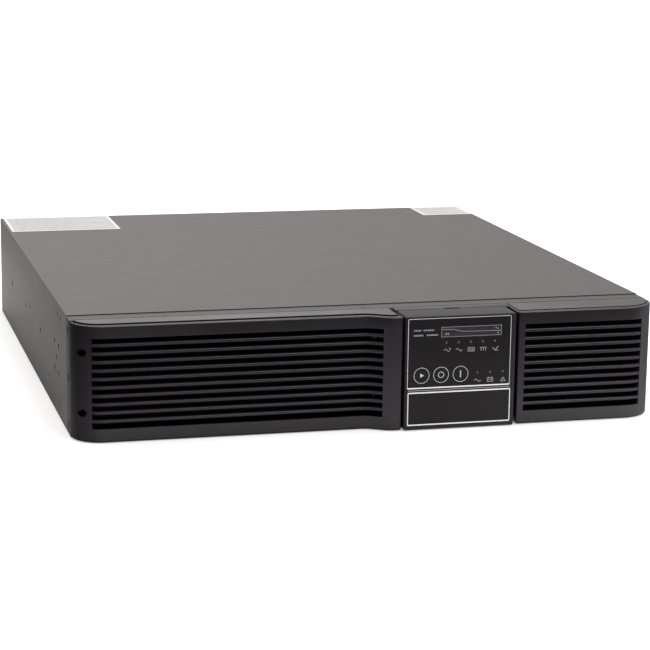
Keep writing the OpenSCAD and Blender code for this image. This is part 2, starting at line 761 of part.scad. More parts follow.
// flanged outlet with two upright slots and a D-shaped hole
module outlet(spot) difference() {
  x = spot[0];
  z = spot[1];
  union() {
    block(spot, rear + 0.1, rear + 2.4, 2.2);
    block(spot, rear - 24, rear + 0.2);
  }
  box(x - 7.4, x - 5.4, rear - 14, rear + 4, z - 1.2, z + 7.6);
  box(x + 5.4, x + 7.4, rear - 14, rear + 4, z - 0.4, z + 6.8);
  intersection() {
    ycyl(x, z - 7, rear - 14, rear + 4, 2.7);
    box(x - 4, x + 4, rear - 15, rear + 5, z - 12, z - 5.4);
  }
}

module outlets() color([0.08, 0.08, 0.085]) for (spot = outlet_spots) outlet(spot);

module breaker_body() color(part_black) difference() {
  union() {
    block([0, breaker_z, 18, 28], rear - 34, rear - 1.3);
    ycyl(0, breaker_z, rear - 1.4, rear + 2.2, 5);
    ycyl(0, breaker_z, rear + 0.1, rear + 1.9, 8, 6);
  }
  ycyl(0, breaker_z, rear - 12, rear + 4, 3.3);
}

module breaker_button() color([0.75, 0.74, 0.72])
  ycyl(0, breaker_z, rear - 11.5, rear + 3.6, 3.25);

// blank plate with two flanges that reach into the slot
module comm_slot_cover() color(case_grey) difference() {
  x = card_slot[0];
  z = card_slot[1];
  union() {
    block([x, z, 100, 37], rear + 0.1, rear + 1.3);
    for (side = sides) block([x, z + side * 14.4, 78, 1.2], rear - 4, rear + 0.2);
  }
  for (screw_x = card_screw_xs) ycyl(screw_x, z, rear - 2, rear + 3, 1.7);
}

module comm_slot_screws() color([0.72, 0.72, 0.72]) for (x = card_screw_xs) difference() {
  z = card_slot[1];
  union() {
    ycyl(x, z, rear + 1.3, rear + 3.8, 3.6);
    ycyl(x, z, rear - 6, rear + 1.4, 1.5);
  }
  block([x, z, 5.2, 0.8], rear + 3, rear + 5);
}

module data_ports() color([0.72, 0.72, 0.74]) {
  // wide port with a screw hole at each end
  difference() {
    x = wide_port[0];
    z = wide_port[1];
    block(wide_port, rear - 14, rear + 1.6);
    block([x, z, 18, 7.8], rear - 9, rear + 3);
    for (side = sides) ycyl(x + side * 12.2, z, rear - 8, rear + 3, 1.5);
  }
  // squarish port with a tongue inside
  difference() {
    x = square_port[0];
    z = square_port[1];
    block(square_port, rear - 16, rear + 1.6);
    difference() {
      block([x, z, 10, 8.8], rear - 10, rear + 3);
      block([x, z, 5.6, 3.2], rear - 12, rear + 0.8);
    }
  }
}

module surge_jacks() color([0.09, 0.09, 0.095]) difference() {
  block(jack_pair, rear - 20, rear + 1.4);
  for (side = sides) {
    x = jack_pair[0] + side * 7.6;
    box(x - 5.9, x + 5.9, rear - 12, rear + 3, 12.6, 21);
    box(x - 2.6, x + 2.6, rear - 12, rear + 3, 20.9, 24);
  }
}

module shutdown_terminal() color([0.08, 0.35, 0.16]) difference() {
  block(terminal, rear - 14, rear + 2.4);
  for (side = sides) {
    x = terminal[0] + side * 3.6;
    box(x - 2.4, x + 2.4, rear - 5, rear + 4, 13.8, 19.2);
    ycyl(x, 21.5, rear + 1, rear + 4, 1.4);
  }
}

module pack_connector() color([0.35, 0.36, 0.38]) difference() {
  x = pack_socket[0];
  z = pack_socket[1];
  union() {
    block(pack_socket, rear - 24, rear + 3.2);
    block([x, z, 28, 20], rear - 30, rear - 23);
  }
  for (side = sides) block([x + side * 8, z, 12.4, 18], rear - 14, rear + 5);
}

base_chassis();
front_frame();
top_cover();
top_labels();
rear_panel();
bay_divider();
tray_guides();
strip_screws();
battery_bezel();
bezel_screws();
vent_bezel();
dust_screen();
display_housing();
display_overlay();
badge_plate();
indicator_lenses();
level_meters();
display_board();
test_key();
off_key();
on_key();
display_cable();
battery_tray();
battery_blocks();
battery_tabs();
battery_links();
battery_clamps();
pull_strap();
tray_screws();
drawer_plug();
bay_socket();
transformer_core();
transformer_coil();
transformer_brackets();
main_board();
board_standoffs();
heat_sinks();
power_transistors();
bulk_capacitors();
relays();
choke();
fuses();
control_board();
bay_wires();
fan_frame();
fan_rotor();
fan_guard();
fan_screws();
inlet_body();
inlet_pins();
outlets();
breaker_body();
breaker_button();
comm_slot_cover();
comm_slot_screws();
data_ports();
surge_jacks();
shutdown_terminal();
pack_connector();
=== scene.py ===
"""A rack-sized power unit: a coated steel case with two louvred front bezels, a display
module between them, a battery drawer on the left and a fan and sockets at the back.

X runs left to right as seen from the front, Y from front to back and Z up.
The case is centred on X = 0. Lengths are in millimetres unless a comment says metres;
MM turns them into metres. Shader distances are in metres.
"""
import bpy, bmesh, math, json, random
from mathutils import Vector, Matrix


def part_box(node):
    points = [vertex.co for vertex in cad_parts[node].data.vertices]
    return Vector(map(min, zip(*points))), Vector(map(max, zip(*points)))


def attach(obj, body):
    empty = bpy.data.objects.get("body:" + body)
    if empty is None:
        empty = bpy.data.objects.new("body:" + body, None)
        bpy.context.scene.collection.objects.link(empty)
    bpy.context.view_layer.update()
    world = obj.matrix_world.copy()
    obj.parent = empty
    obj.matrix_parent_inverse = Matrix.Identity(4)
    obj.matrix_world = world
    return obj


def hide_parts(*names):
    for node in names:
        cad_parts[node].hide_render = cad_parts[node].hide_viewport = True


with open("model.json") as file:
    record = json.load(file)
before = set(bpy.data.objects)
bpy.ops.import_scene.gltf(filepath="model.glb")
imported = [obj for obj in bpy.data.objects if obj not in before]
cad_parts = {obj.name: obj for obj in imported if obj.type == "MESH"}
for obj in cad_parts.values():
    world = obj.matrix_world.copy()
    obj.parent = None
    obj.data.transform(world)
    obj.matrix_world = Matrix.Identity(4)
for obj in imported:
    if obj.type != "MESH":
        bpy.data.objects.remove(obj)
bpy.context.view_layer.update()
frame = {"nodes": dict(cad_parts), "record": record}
NODES = frame["nodes"]
random.seed(7)
MM = 0.001


# ---------------------------------------------------------------- places in the frame
def extent(node):
    """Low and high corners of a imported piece."""
    low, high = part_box(node)
    return low * 1000, high * 1000


FRAME_LO, FRAME_HI = extent("front_frame")
FRONT = FRAME_LO.y                      # front plane of the case
BACK = extent("base_chassis")[1].y      # back plane of the case
FACE = extent("display_overlay")[0].y   # front face of the display film
TOP = FRAME_HI.z
HALF = FRAME_HI.x                       # half the case width
MODULE_LO, MODULE_HI = extent("display_housing")
MODULE_X = (MODULE_LO.x + MODULE_HI.x) / 2
MID_Z = 43                              # height of the module spigot and the fan


# ---------------------------------------------------------------- shader building
class Graph:
    """Short calls that add nodes to a tree and hand back their outputs."""

    def __init__(self, tree):
        self.tree = tree
        tree.nodes.clear()

    def node(self, kind, **settings):
        made = self.tree.nodes.new(kind)
        for key, value in settings.items():
            setattr(made, key, value)
        return made

    def feed(self, socket, value):
        """Link an output, or set a number or an RGB colour."""
        if hasattr(value, "is_output"):
            self.tree.links.new(value, socket)
        elif hasattr(value, "__len__"):
            socket.default_value = (*value, 1)
        else:
            socket.default_value = value

    def math(self, operation, a, b=0.0):
        made = self.node("ShaderNodeMath", operation=operation)
        self.feed(made.inputs[0], a)
        self.feed(made.inputs[1], b)
        return made.outputs[0]

    def ramp(self, value, span=(0.3, 0.7), out=(0.0, 1.0), smooth=False):
        """Map the input span to the output range, clamped."""
        made = self.node("ShaderNodeMapRange")
        if smooth:
            made.interpolation_type = "SMOOTHSTEP"
        for end, source, target in (("Min", span[0], out[0]), ("Max", span[1], out[1])):
            made.inputs["From " + end].default_value = source
            made.inputs["To " + end].default_value = target
        self.feed(made.inputs["Value"], value)
        return made.outputs["Result"]

    def mix(self, factor, a, b):
        """Colour a where the factor is 0, b where it is 1."""
        made = self.node("ShaderNodeMix", data_type="RGBA")
        self.feed(made.inputs[0], factor)
        self.feed(made.inputs[6], a)
        self.feed(made.inputs[7], b)
        return made.outputs[2]

    def axes(self, vector):
        made = self.node("ShaderNodeSeparateXYZ")
        self.feed(made.inputs[0], vector)
        return made.outputs


class Shader(Graph):
    """A material with one Principled surface and object coordinates."""

    def __init__(self, name):
        self.material = bpy.data.materials.new(name)
        self.material.use_nodes = True
        super().__init__(self.material.node_tree)
        output = self.node("ShaderNodeOutputMaterial")
        self.surface = self.node("ShaderNodeBsdfPrincipled")
        self.feed(output.inputs[0], self.surface.outputs[0])
        self.coords = self.node("ShaderNodeTexCoord").outputs["Object"]

    def set(self, name, value):
        self.feed(self.surface.inputs[name], value)

    def texture(self, kind, inputs, vector=None, **settings):
        made = self.node(kind, **settings)
        for key, value in inputs.items():
            self.feed(made.inputs[key], value)
        self.feed(made.inputs["Vector"], vector or self.coords)
        return made.outputs

    def stretch(self, scale):
        made = self.node("ShaderNodeMapping")
        made.inputs["Scale"].default_value = scale
        self.feed(made.inputs["Vector"], self.coords)
        return made.outputs[0]

    def noise(self, scale, detail=3, rough=0.55, vector=None):
        inputs = {"Scale": scale, "Detail": detail, "Roughness": rough}
        return self.texture("ShaderNodeTexNoise", inputs, vector)["Fac"]

    def bump(self, height, strength, distance):
        """Bump the surface normal; distance in metres."""
        made = self.node("ShaderNodeBump")
        made.inputs["Strength"].default_value = strength
        made.inputs["Distance"].default_value = distance
        self.feed(made.inputs["Height"], height)
        self.set("Normal", made.outputs[0])

    def facing(self):
        return self.axes(self.node("ShaderNodeNewGeometry").outputs["Normal"])

    def edge(self, radius):
        """1 along convex and concave edges, 0 on flats; radius in metres."""
        rounded = self.node("ShaderNodeBevel", samples=4)
        rounded.inputs["Radius"].default_value = radius
        geometry = self.node("ShaderNodeNewGeometry")
        dot = self.node("ShaderNodeVectorMath", operation="DOT_PRODUCT")
        self.feed(dot.inputs[0], rounded.outputs[0])
        self.feed(dot.inputs[1], geometry.outputs["Normal"])
        return self.ramp(dot.outputs["Value"], span=(0.995, 0.88))


def tinted(colour, factor, lift=0.0):
    return tuple(min(1, part * factor + lift) for part in colour)


# ---------------------------------------------------------------- kinds of material
def moulding(name, colour, rough, grain, bump, wear):
    """Fine spark texture, blotchy tone and gloss, paler rubbed edges."""
    sh = Shader(name)
    blotches = sh.noise(14, detail=4)
    specks = sh.noise(grain, detail=2, rough=0.6)
    tone = sh.mix(sh.ramp(blotches), tinted(colour, 0.88), tinted(colour, 1.12))
    tone = sh.mix(sh.ramp(specks, span=(0.35, 0.75), out=(0.0, 0.35)), tone,
                  tinted(colour, 1.5, lift=0.003))
    if wear:
        patches = sh.ramp(sh.noise(160), span=(0.4, 0.75), out=(0.15, wear))
        rubbed = sh.math("MULTIPLY", sh.edge(radius=0.0006), patches)
        tone = sh.mix(rubbed, tone, tinted(colour, 1.7, lift=0.02))
    gloss = sh.math("ADD", sh.ramp(blotches, out=(-0.06, 0.06)),
                    sh.ramp(specks, out=(rough - 0.05, rough + 0.05)))
    coarse = sh.math("MULTIPLY", sh.noise(grain * 0.35, detail=2), 0.6)
    sh.bump(sh.math("ADD", specks, coarse), strength=bump, distance=0.00005)
    return sh, tone, gloss


def plastic(name, colour, rough=0.45, grain=2600, bump=0.25, wear=0.0, spec=0.5, coat=0.0):
    """Moulded plastic, with a clear coat if asked."""
    sh, tone, gloss = moulding(name, colour, rough, grain, bump, wear)
    sh.set("Base Color", tone)
    sh.set("Roughness", gloss)
    sh.set("Specular IOR Level", spec)
    if coat:
        sh.set("Coat Weight", coat)
        sh.set("Coat Roughness", 0.15)
    return sh.material


def plastic_painted_light(name, colour, rough, wear, spec, highlight_tint, top):
    """Moulded plastic with a painted highlight on upturned surfaces, painted shade on undersides
    and dulled ends.
    """
    sh, tone, gloss = moulding(name, colour, rough, 2600, 0.25, wear)
    upward = sh.facing()["Z"]
    across = sh.axes(sh.coords)["X"]
    # painted highlight: upturned faces are lightened towards a paler tint, unevenly
    film = sh.math("MULTIPLY", sh.ramp(upward, span=(0.15, 0.7)),
                   sh.ramp(sh.noise(70), out=(0.55, 1.0)))
    # painted highlight stronger to the right, none on the flat top
    film = sh.math("MULTIPLY", film, sh.ramp(across, span=(-0.2, 0.2), out=(0.4, 1.0)))
    flat = sh.ramp(upward, span=(0.93, 0.98))
    film = sh.math("MULTIPLY", film, sh.math("SUBTRACT", 1.0, flat))
    tone = sh.mix(film, tone, highlight_tint)
    # painted shade: downward faces darkened nearly to black
    under = sh.ramp(upward, span=(-0.12, -0.55))
    tone = sh.mix(under, tone, (0.002, 0.002, 0.002))
    sh.set("Base Color", sh.mix(sh.math("MULTIPLY", flat, 0.8), tone, top))
    # the outer ends have lost their sheen
    ends = sh.ramp(sh.math("ABSOLUTE", sh.axes(sh.coords)["X"]), span=(0.198, 0.2165))
    ends = sh.math("MULTIPLY", ends, sh.math("SUBTRACT", 1.0, flat))
    sh.set("Roughness", sh.math("ADD", gloss, sh.math("MULTIPLY", ends, 0.26)))
    shine = sh.ramp(ends, span=(0, 1), out=(spec, 0.10))
    # the painted shade also cuts the gloss of downward faces
    shine = sh.math("MULTIPLY", shine, sh.ramp(under, span=(0, 1), out=(1.0, 0.12)))
    dulled = sh.math("MULTIPLY", flat, sh.ramp(across, span=(-0.1, 0.1), out=(0.0, 0.55)))
    shine = sh.math("MULTIPLY", shine, sh.math("SUBTRACT", 1.0, dulled))
    sh.set("Specular IOR Level", shine)
    return sh.material


def painted_sheet(name, colour, rough, wear):
    """Orange peel, faint rolling streaks, uneven tone and bare-metal nicks on edges."""
    sh = Shader(name)
    blotches = sh.noise(5.5)
    smudges = sh.noise(60, detail=4, rough=0.6)
    fine = sh.noise(1500, detail=2, rough=0.5)
    streaks = sh.noise(18, rough=0.6, vector=sh.stretch((14, 0.5, 0.5)))
    tone = sh.mix(sh.ramp(blotches), tinted(colour, 0.95), tinted(colour, 1.05))
    tone = sh.mix(sh.ramp(smudges, span=(0.42, 0.8), out=(0.0, 0.12)), tone, tinted(colour, 1.3))
    tone = sh.mix(sh.ramp(streaks, span=(0.4, 0.8), out=(0.0, 0.08)), tone, tinted(colour, 1.35))
    nicks = sh.math("MULTIPLY", sh.edge(radius=0.0007),
                    sh.ramp(sh.noise(220), span=(0.5, 0.75), out=(0.0, wear)))
    tone = sh.mix(nicks, tone, (0.16, 0.155, 0.15))
    gloss = sh.math("ADD", sh.ramp(blotches, out=(-0.01, 0.01)),
                    sh.ramp(smudges, out=(rough - 0.012, rough + 0.015)))
    peel = sh.math("ADD", sh.math("MULTIPLY", sh.noise(700, detail=2), 1.0),
                   sh.math("MULTIPLY", fine, 0.5))
    sh.bump(peel, strength=0.22, distance=0.00006)
    return sh, tone, gloss


def powder(name, colour, rough, wear=0.35, spec=0.5):
    """Powder-coated sheet."""
    sh, tone, gloss = painted_sheet(name, colour, rough, wear)
    sh.set("Base Color", tone)
    sh.set("Roughness", gloss)
    sh.set("Specular IOR Level", spec)
    return sh.material


def powder_painted_light(name, colour, rough, spec, seam):
    """Powder coat with a painted line of shade between two Y places (metres) and a top painted
    lighter.
    """
    sh, tone, gloss = painted_sheet(name, colour, rough, wear=0.35)
    along = sh.axes(sh.coords)["Y"]
    fade = 0.0004
    begins = sh.ramp(along, span=(seam[0], seam[0] + fade))
    ends = sh.ramp(along, span=(seam[1], seam[1] - fade))
    # painted shade: a dark line across the strip just behind the bezels
    painted_shade_line = sh.math("MULTIPLY", sh.math("MULTIPLY", begins, ends),
                    sh.ramp(sh.noise(120), span=(0.2, 0.5), out=(0.55, 1.0)))
    # painted light: upward faces made lighter and glossier
    painted_top_light = sh.ramp(sh.facing()["Z"], span=(0.85, 0.97))
    tone = sh.mix(painted_top_light, tone, tinted(colour, 1.3))
    sh.set("Base Color", sh.mix(painted_shade_line, tone, (0.004, 0.004, 0.004)))
    sh.set("Specular IOR Level",
           sh.math("MULTIPLY", sh.ramp(painted_shade_line, span=(0, 1), out=(spec, 0.02)),
                   sh.ramp(painted_top_light, span=(0, 1), out=(1.0, 1.36))))
    sh.set("Roughness", sh.math("SUBTRACT", gloss, sh.math("MULTIPLY", painted_top_light, 0.08)))
    return sh.material


def metal(name, colour, rough=0.3, grain=(0.6, 40, 40), scale=60, bump=0.1, spangle=0.0,
          metallic=1.0):
    """Bare or plated metal: drawn grain, optional zinc spangle, duller stains."""
    sh = Shader(name)
    drawn = sh.noise(scale, detail=4, rough=0.65, vector=sh.stretch(grain))
    stains = sh.noise(22, detail=4, rough=0.6)
    tone = sh.mix(sh.ramp(stains, span=(0.35, 0.7)), tinted(colour, 0.88), tinted(colour, 1.06))
    if spangle:
        cells = sh.texture("ShaderNodeTexVoronoi", {"Scale": 190})
        split = sh.node("ShaderNodeSeparateColor")
        sh.feed(split.inputs[0], cells["Color"])
        tone = sh.mix(sh.math("MULTIPLY", split.outputs[0], spangle), tone, tinted(colour, 0.7))
    tone = sh.mix(sh.ramp(drawn, span=(0.3, 0.8), out=(0.0, 0.25)), tone, tinted(colour, 0.72))
    sh.set("Base Color", tone)
    sh.set("Metallic", metallic)
    sh.set("Roughness", sh.math("ADD", sh.ramp(drawn, span=(0.2, 0.8), out=(-0.07, 0.08)),
                                sh.ramp(stains, out=(rough, rough + 0.09))))
    sh.bump(drawn, strength=bump, distance=0.00003)
    return sh.material


def board(name, colour, trace):
    """Solder mask with traces under it and small pads."""
    sh = Shader(name)
    tracks = sh.texture("ShaderNodeTexBrick", {
        "Scale": 55, "Mortar Size": 0.06, "Color1": (0, 0, 0),
        "Color2": (0.15, 0.15, 0.15), "Mortar": (1, 1, 1)})["Fac"]
    cells = sh.texture("ShaderNodeTexVoronoi", {"Scale": 260})
    pads = sh.ramp(cells["Distance"], span=(0.16, 0.12))
    tone = sh.mix(sh.math("MULTIPLY", tracks, 0.8), colour, trace)
    tone = sh.mix(sh.ramp(sh.noise(30), out=(0, 0.4)), tone, tinted(colour, 0.7))
    tone = sh.mix(sh.math("MULTIPLY", pads, 0.7), tone, (0.55, 0.54, 0.5))
    sh.set("Base Color", tone)
    sh.set("Roughness", sh.ramp(sh.noise(300, detail=2), out=(0.28, 0.42)))
    sh.bump(tracks, strength=0.3, distance=0.00004)
    return sh.material


def fabric(name, colour, threads):
    """Plain weave from two crossed bands."""
    sh = Shader(name)
    bands = [sh.texture("ShaderNodeTexWave", {"Scale": threads / 3, "Distortion": 0.6},
                        wave_type="BANDS", bands_direction=way)["Fac"] for way in "XZ"]
    weave = sh.math("MULTIPLY", *bands)
    sh.set("Base Color", sh.mix(weave, tinted(colour, 0.5), tinted(colour, 1.5)))
    sh.set("Roughness", sh.ramp(sh.noise(400, detail=2), out=(0.75, 0.92)))
    sh.set("Sheen Weight", 0.3)
    sh.bump(weave, strength=0.6, distance=0.0002)
    return sh.material


def paper(name):
    """Blank label stock with fibre and faint grey rules."""
    sh = Shader(name)
    fibre = sh.noise(900, detail=4, rough=0.7)
    tone = sh.mix(sh.ramp(fibre), (0.66, 0.66, 0.65), (0.72, 0.72, 0.71))
    bands = sh.texture("ShaderNodeTexWave", {"Scale": 34},
                       wave_type="BANDS", bands_direction="Y")["Fac"]
    gaps = sh.ramp(sh.noise(26, detail=1, vector=sh.stretch((3.2, 0.6, 1))), span=(0.47, 0.53))
    rules = sh.math("MULTIPLY", sh.ramp(bands, span=(0.86, 0.93)), gaps)
    tone = sh.mix(sh.math("MULTIPLY", rules, 0.05), tone, (0.42, 0.42, 0.43))
    stains = sh.ramp(sh.noise(9), span=(0.45, 0.75), out=(0, 0.25))
    sh.set("Base Color", sh.mix(stains, tone, (0.62, 0.61, 0.59)))
    sh.set("Roughness", 0.62)
    sh.bump(fibre, strength=0.2, distance=0.00003)
    return sh.material


def ink(name, colour, rough=0.5, painted_glow=0.0):
    """Printed ink with a slight stipple, and a painted glow when asked: the print then emits
    light though it is no lamp.
    """
    sh = Shader(name)
    stipple = sh.noise(2400, detail=2, rough=0.7)
    tone = sh.mix(sh.ramp(stipple, span=(0.35, 0.7)), tinted(colour, 0.82), colour)
    sh.set("Base Color", tone)
    sh.set("Roughness", sh.ramp(stipple, out=(rough - 0.08, rough + 0.08)))
    if painted_glow:
        sh.set("Emission Color", tone)
        sh.set("Emission Strength", painted_glow)
    sh.bump(stipple, strength=0.15, distance=0.00002)
    return sh.material


# ---------------------------------------------------------------- the materials
CASE = powder("case_powder", (0.036, 0.0318, 0.0306), rough=0.42)
# strip powder with a painted line of shade behind the bezels and a top painted lighter
STRIP = powder_painted_light("strip_powder", (0.029, 0.0256, 0.0246), rough=0.53, spec=0.36,
                      seam=((FRONT + 1.7) * MM, (FRONT + 3.6) * MM))
# bezel plastic with a painted highlight on upturned edges and painted shade on undersides
BEZEL = plastic_painted_light("bezel_abs", (0.0128, 0.0118, 0.0160), rough=0.29, wear=0.12, spec=0.42,
                      highlight_tint=(0.058, 0.054, 0.060), top=(0.0135, 0.0125, 0.0118))
MODULE = plastic("module_abs", (0.0070, 0.0062, 0.0080), rough=0.48, wear=0.12, spec=0.4)
FILM, KEY = [plastic(name, (0.0056, 0.0050, 0.0066), rough=0.36, grain=1800, bump=0.12,
                     spec=0.26) for name in ("overlay_film_mat", "key_film_mat")]
BLACK = plastic("black_moulding", (0.018, 0.018, 0.019), rough=0.42, wear=0.3)
# black coated sheet made darker still as painted shade, so the tray reads black through the
# slots
SHADE_BLACK_SHEET = powder("black_sheet_painted_shade", (0.004, 0.004, 0.0042), rough=0.6, wear=0.08,
                   spec=0.12)
SCREEN = fabric("screen_mesh_mat", (0.01, 0.01, 0.01), threads=1200)
WEBBING = fabric("webbing_mat", (0.03, 0.03, 0.032), threads=700)
PAPER = paper("label_paper_mat")
# the white and key print are given a painted glow so they read brighter
WHITE = ink("white_print", (0.86, 0.87, 0.88), painted_glow=0.25)
KEY_INK = ink("key_print", (0.66, 0.67, 0.68), painted_glow=0.14)
GREY = ink("grey_print", (0.42, 0.42, 0.43))
LABEL_GROUND = ink("label_ground", (0.52, 0.52, 0.515), rough=0.6)
LABEL_RULE = ink("label_rule", (0.40, 0.40, 0.40), rough=0.6)
ZINC = metal("zinc_sheet_mat", (0.60, 0.61, 0.63), rough=0.32, spangle=0.5)
BRIGHT_SCREW = metal("bright_screw_mat", (0.68, 0.68, 0.69), rough=0.24, grain=(30, 30, 30),
                     scale=30)
DARK_SCREW = metal("black_screw_mat", (0.10, 0.10, 0.10), rough=0.38, grain=(30, 30, 30),
                   scale=30, metallic=0.75)
STRIP_SCREW = powder("strip_screw_paint", (0.040, 0.0355, 0.0340), rough=0.44, wear=0.2)
ALUMINIUM = metal("extruded_alu_mat", (0.72, 0.73, 0.74), rough=0.33, grain=(40, 0.6, 40))
CHROME = metal("guard_wire_mat", (0.78, 0.78, 0.79), rough=0.16, grain=(20, 20, 20), scale=30,
               bump=0.04)
BRASS = metal("brass_mat", (0.72, 0.56, 0.26), rough=0.27, grain=(20, 20, 20))
TIN = metal("tinned_mat", (0.74, 0.73, 0.69), rough=0.3, grain=(20, 20, 20))
COPPER = metal("winding_mat", (0.62, 0.30, 0.12), rough=0.3, grain=(1, 1, 240), scale=14,
               bump=0.5)
CORE = metal("lamination_mat", (0.16, 0.155, 0.15), rough=0.45, grain=(1, 260, 1), scale=10,
             bump=0.6, metallic=0.8)
GREEN_BOARD = board("green_board_mat", (0.015, 0.10, 0.045), trace=(0.03, 0.17, 0.08))
BLUE_BOARD = board("blue_board_mat", (0.012, 0.06, 0.13), trace=(0.02, 0.11, 0.2))
RED = plastic("red_insulation", (0.30, 0.015, 0.012), rough=0.38, wear=0.2)
BATTERY = plastic("battery_abs", (0.030, 0.031, 0.034), rough=0.40, grain=1300, bump=0.35,
                  wear=0.35)
LENS = plastic("lens_mat", (0.085, 0.089, 0.085), rough=0.22, bump=0.05, coat=0.4)
METER = plastic("meter_window_mat", (0.018, 0.017, 0.02), rough=0.22, bump=0.05, coat=0.3)
CABLE = plastic("flat_cable_mat", (0.5, 0.5, 0.52), rough=0.5)
CAPACITOR = plastic("capacitor_sleeve_mat", (0.02, 0.025, 0.09), rough=0.28, bump=0.08)
RELAY = plastic("relay_mat", (0.02, 0.03, 0.2), rough=0.35)
CERAMIC = plastic("fuse_ceramic_mat", (0.62, 0.59, 0.52), rough=0.3, bump=0.1)
IVORY = plastic("button_ivory_mat", (0.62, 0.60, 0.54), rough=0.33, wear=0.3)
GREEN = plastic("terminal_green_mat", (0.02, 0.17, 0.05), rough=0.4, wear=0.2)
CONNECTOR = plastic("connector_grey_mat", (0.14, 0.145, 0.155), rough=0.42, wear=0.3)
SHELL = metal("tinned_shell_mat", (0.66, 0.66, 0.67), rough=0.26, grain=(20, 20, 20))


# ---------------------------------------------------------------- objects
def mm(x, y, z):
    return Vector((x * MM, y * MM, z * MM))


def new_object(mesh, name):
    ob = bpy.data.objects.new(name, mesh)
    bpy.context.scene.collection.objects.link(ob)
    return ob


def to_object(bm, name="cutter"):
    mesh = bpy.data.meshes.new(name)
    bm.to_mesh(mesh)
    bm.free()
    return new_object(mesh, name)


def absorb(bm, ob):
    """Add an object's mesh to bm and remove the object."""
    bm.from_mesh(ob.data)
    bpy.data.objects.remove(ob)


def register(ob, body, node=None):
    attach(ob, body)
    if node:
        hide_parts(node)


def shade(ob, angle):
    """Smooth shading with sharp edges above an angle in degrees."""
    mesh = ob.data
    mesh.polygons.foreach_set("use_smooth", [True] * len(mesh.polygons))
    mesh.update()
    bm = bmesh.new()
    bm.from_mesh(mesh)
    limit = math.radians(angle)
    for e in bm.edges:
        e.smooth = len(e.link_faces) == 2 and e.calc_face_angle(0) < limit
    bm.to_mesh(mesh)
    bm.free()


def drop_slivers(bm, area):
    slivers = [f for f in bm.faces if f.calc_area() < area]
    if slivers:
        bmesh.ops.delete(bm, geom=slivers, context="FACES")


def finish(bm, name, material, body, node=None, smooth=40, weld=False):
    if weld:
        bmesh.ops.remove_doubles(bm, verts=bm.verts, dist=1e-7)
        drop_slivers(bm, 1e-13)
    ob = to_object(bm, name)
    ob.data.materials.append(material)
    shade(ob, smooth)
    register(ob, body, node)


def finish_print(bm, name, material, body="display_module"):
    finish(bm, name, material, body, smooth=20)


def add_bevel(ob, width, angle=35, segments=2, weight=False, harden=True):
    bevel = ob.modifiers.new("edges", "BEVEL")
    bevel.width = width * MM
    bevel.segments = segments
    bevel.limit_method = "WEIGHT" if weight else "ANGLE"
    bevel.angle_limit = math.radians(angle)
    bevel.use_clamp_overlap = True
    bevel.harden_normals = harden
    bevel.miter_outer = "MITER_ARC"


def carve(ob, cutter_bm, operation="DIFFERENCE"):
    """Apply a boolean with the cutter's mesh."""
    cutter = to_object(cutter_bm)
    cut = ob.modifiers.new("cut", "BOOLEAN")
    cut.operation = operation
    cut.solver = "EXACT"
    cut.object = cutter
    bpy.context.view_layer.update()
    depsgraph = bpy.context.evaluated_depsgraph_get()
    mesh = bpy.data.meshes.new_from_object(ob.evaluated_get(depsgraph), depsgraph=depsgraph)
    ob.modifiers.remove(cut)
    old = ob.data
    ob.data = mesh
    bpy.data.meshes.remove(old)
    bpy.data.objects.remove(cutter)


def body_of(node):
    for body, nodes in frame["record"]["behaviour"]["bodies"].items():
        if node in nodes:
            return body


def case_sheet(node, name, material, bevel, segments=2, corner_top=None, drop=0, merge=True):
    """A packed sheet merged back into whole faces, with rounded edges.

    corner_top: height of the top whose two long side edges get the bend radius.
    drop: how far the top surface is lowered.
    """
    bend_radius = 1.6
    sharp = math.radians(35)
    bm = bmesh.new()
    bm.from_mesh(NODES[node].data)
    bmesh.ops.remove_doubles(bm, verts=bm.verts, dist=2e-6)
    if merge:
        bmesh.ops.dissolve_limit(bm, angle_limit=math.radians(0.6), verts=bm.verts,
                                 edges=bm.edges)
        bmesh.ops.triangulate(bm, faces=[f for f in bm.faces if len(f.verts) > 4],
                              quad_method="BEAUTY", ngon_method="EAR_CLIP")
    if drop:
        for v in bm.verts:
            if v.co.z * 1000 > TOP - 0.05:
                v.co += Vector((0, 0, -drop)) * MM
    bm.normal_update()
    layers = bm.edges.layers.float
    weights = layers.get("bevel_weight_edge") or layers.new("bevel_weight_edge")
    radii = []
    for e in bm.edges:
        radius = 0.0
        if len(e.link_faces) == 2 and e.calc_face_angle(0) > sharp:
            radius = bevel
            middle = (e.verts[0].co + e.verts[1].co) * 500
            along = (e.verts[1].co - e.verts[0].co).normalized()
            if (corner_top is not None and abs(along.y) > 0.98
                    and abs(abs(middle.x) - HALF) < 0.2 and middle.z > corner_top - 0.3):
                radius = bend_radius
        radii.append((e, radius))
    largest = max([bevel] + [radius for _, radius in radii])
    for e, radius in radii:
        e[weights] = radius / largest if largest else 0
        e.smooth = len(e.link_faces) == 2 and e.calc_face_angle(0) < sharp
    ob = to_object(bm, name)
    ob.data.polygons.foreach_set("use_smooth", [True] * len(ob.data.polygons))
    ob.data.materials.append(material)
    add_bevel(ob, largest, segments=segments, weight=True)
    register(ob, body_of(node), node)


def dress(node, material, bevel):
    """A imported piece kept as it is, with a finish and softened edges."""
    ob = NODES[node]
    ob.data.materials.clear()
    ob.data.materials.append(material)
    for face in ob.data.polygons:
        face.material_index = 0
    if bevel:
        add_bevel(ob, bevel, harden=False)


# ---------------------------------------------------------------- mesh tools
def steps(start, end, count):
    """Even steps after start, up to and including end."""
    return [start + (end - start) * i / count for i in range(1, count + 1)]


def quarter(count):
    """Angles from 0 to 90 degrees."""
    return [math.radians(90 * i / count) for i in range(count + 1)]


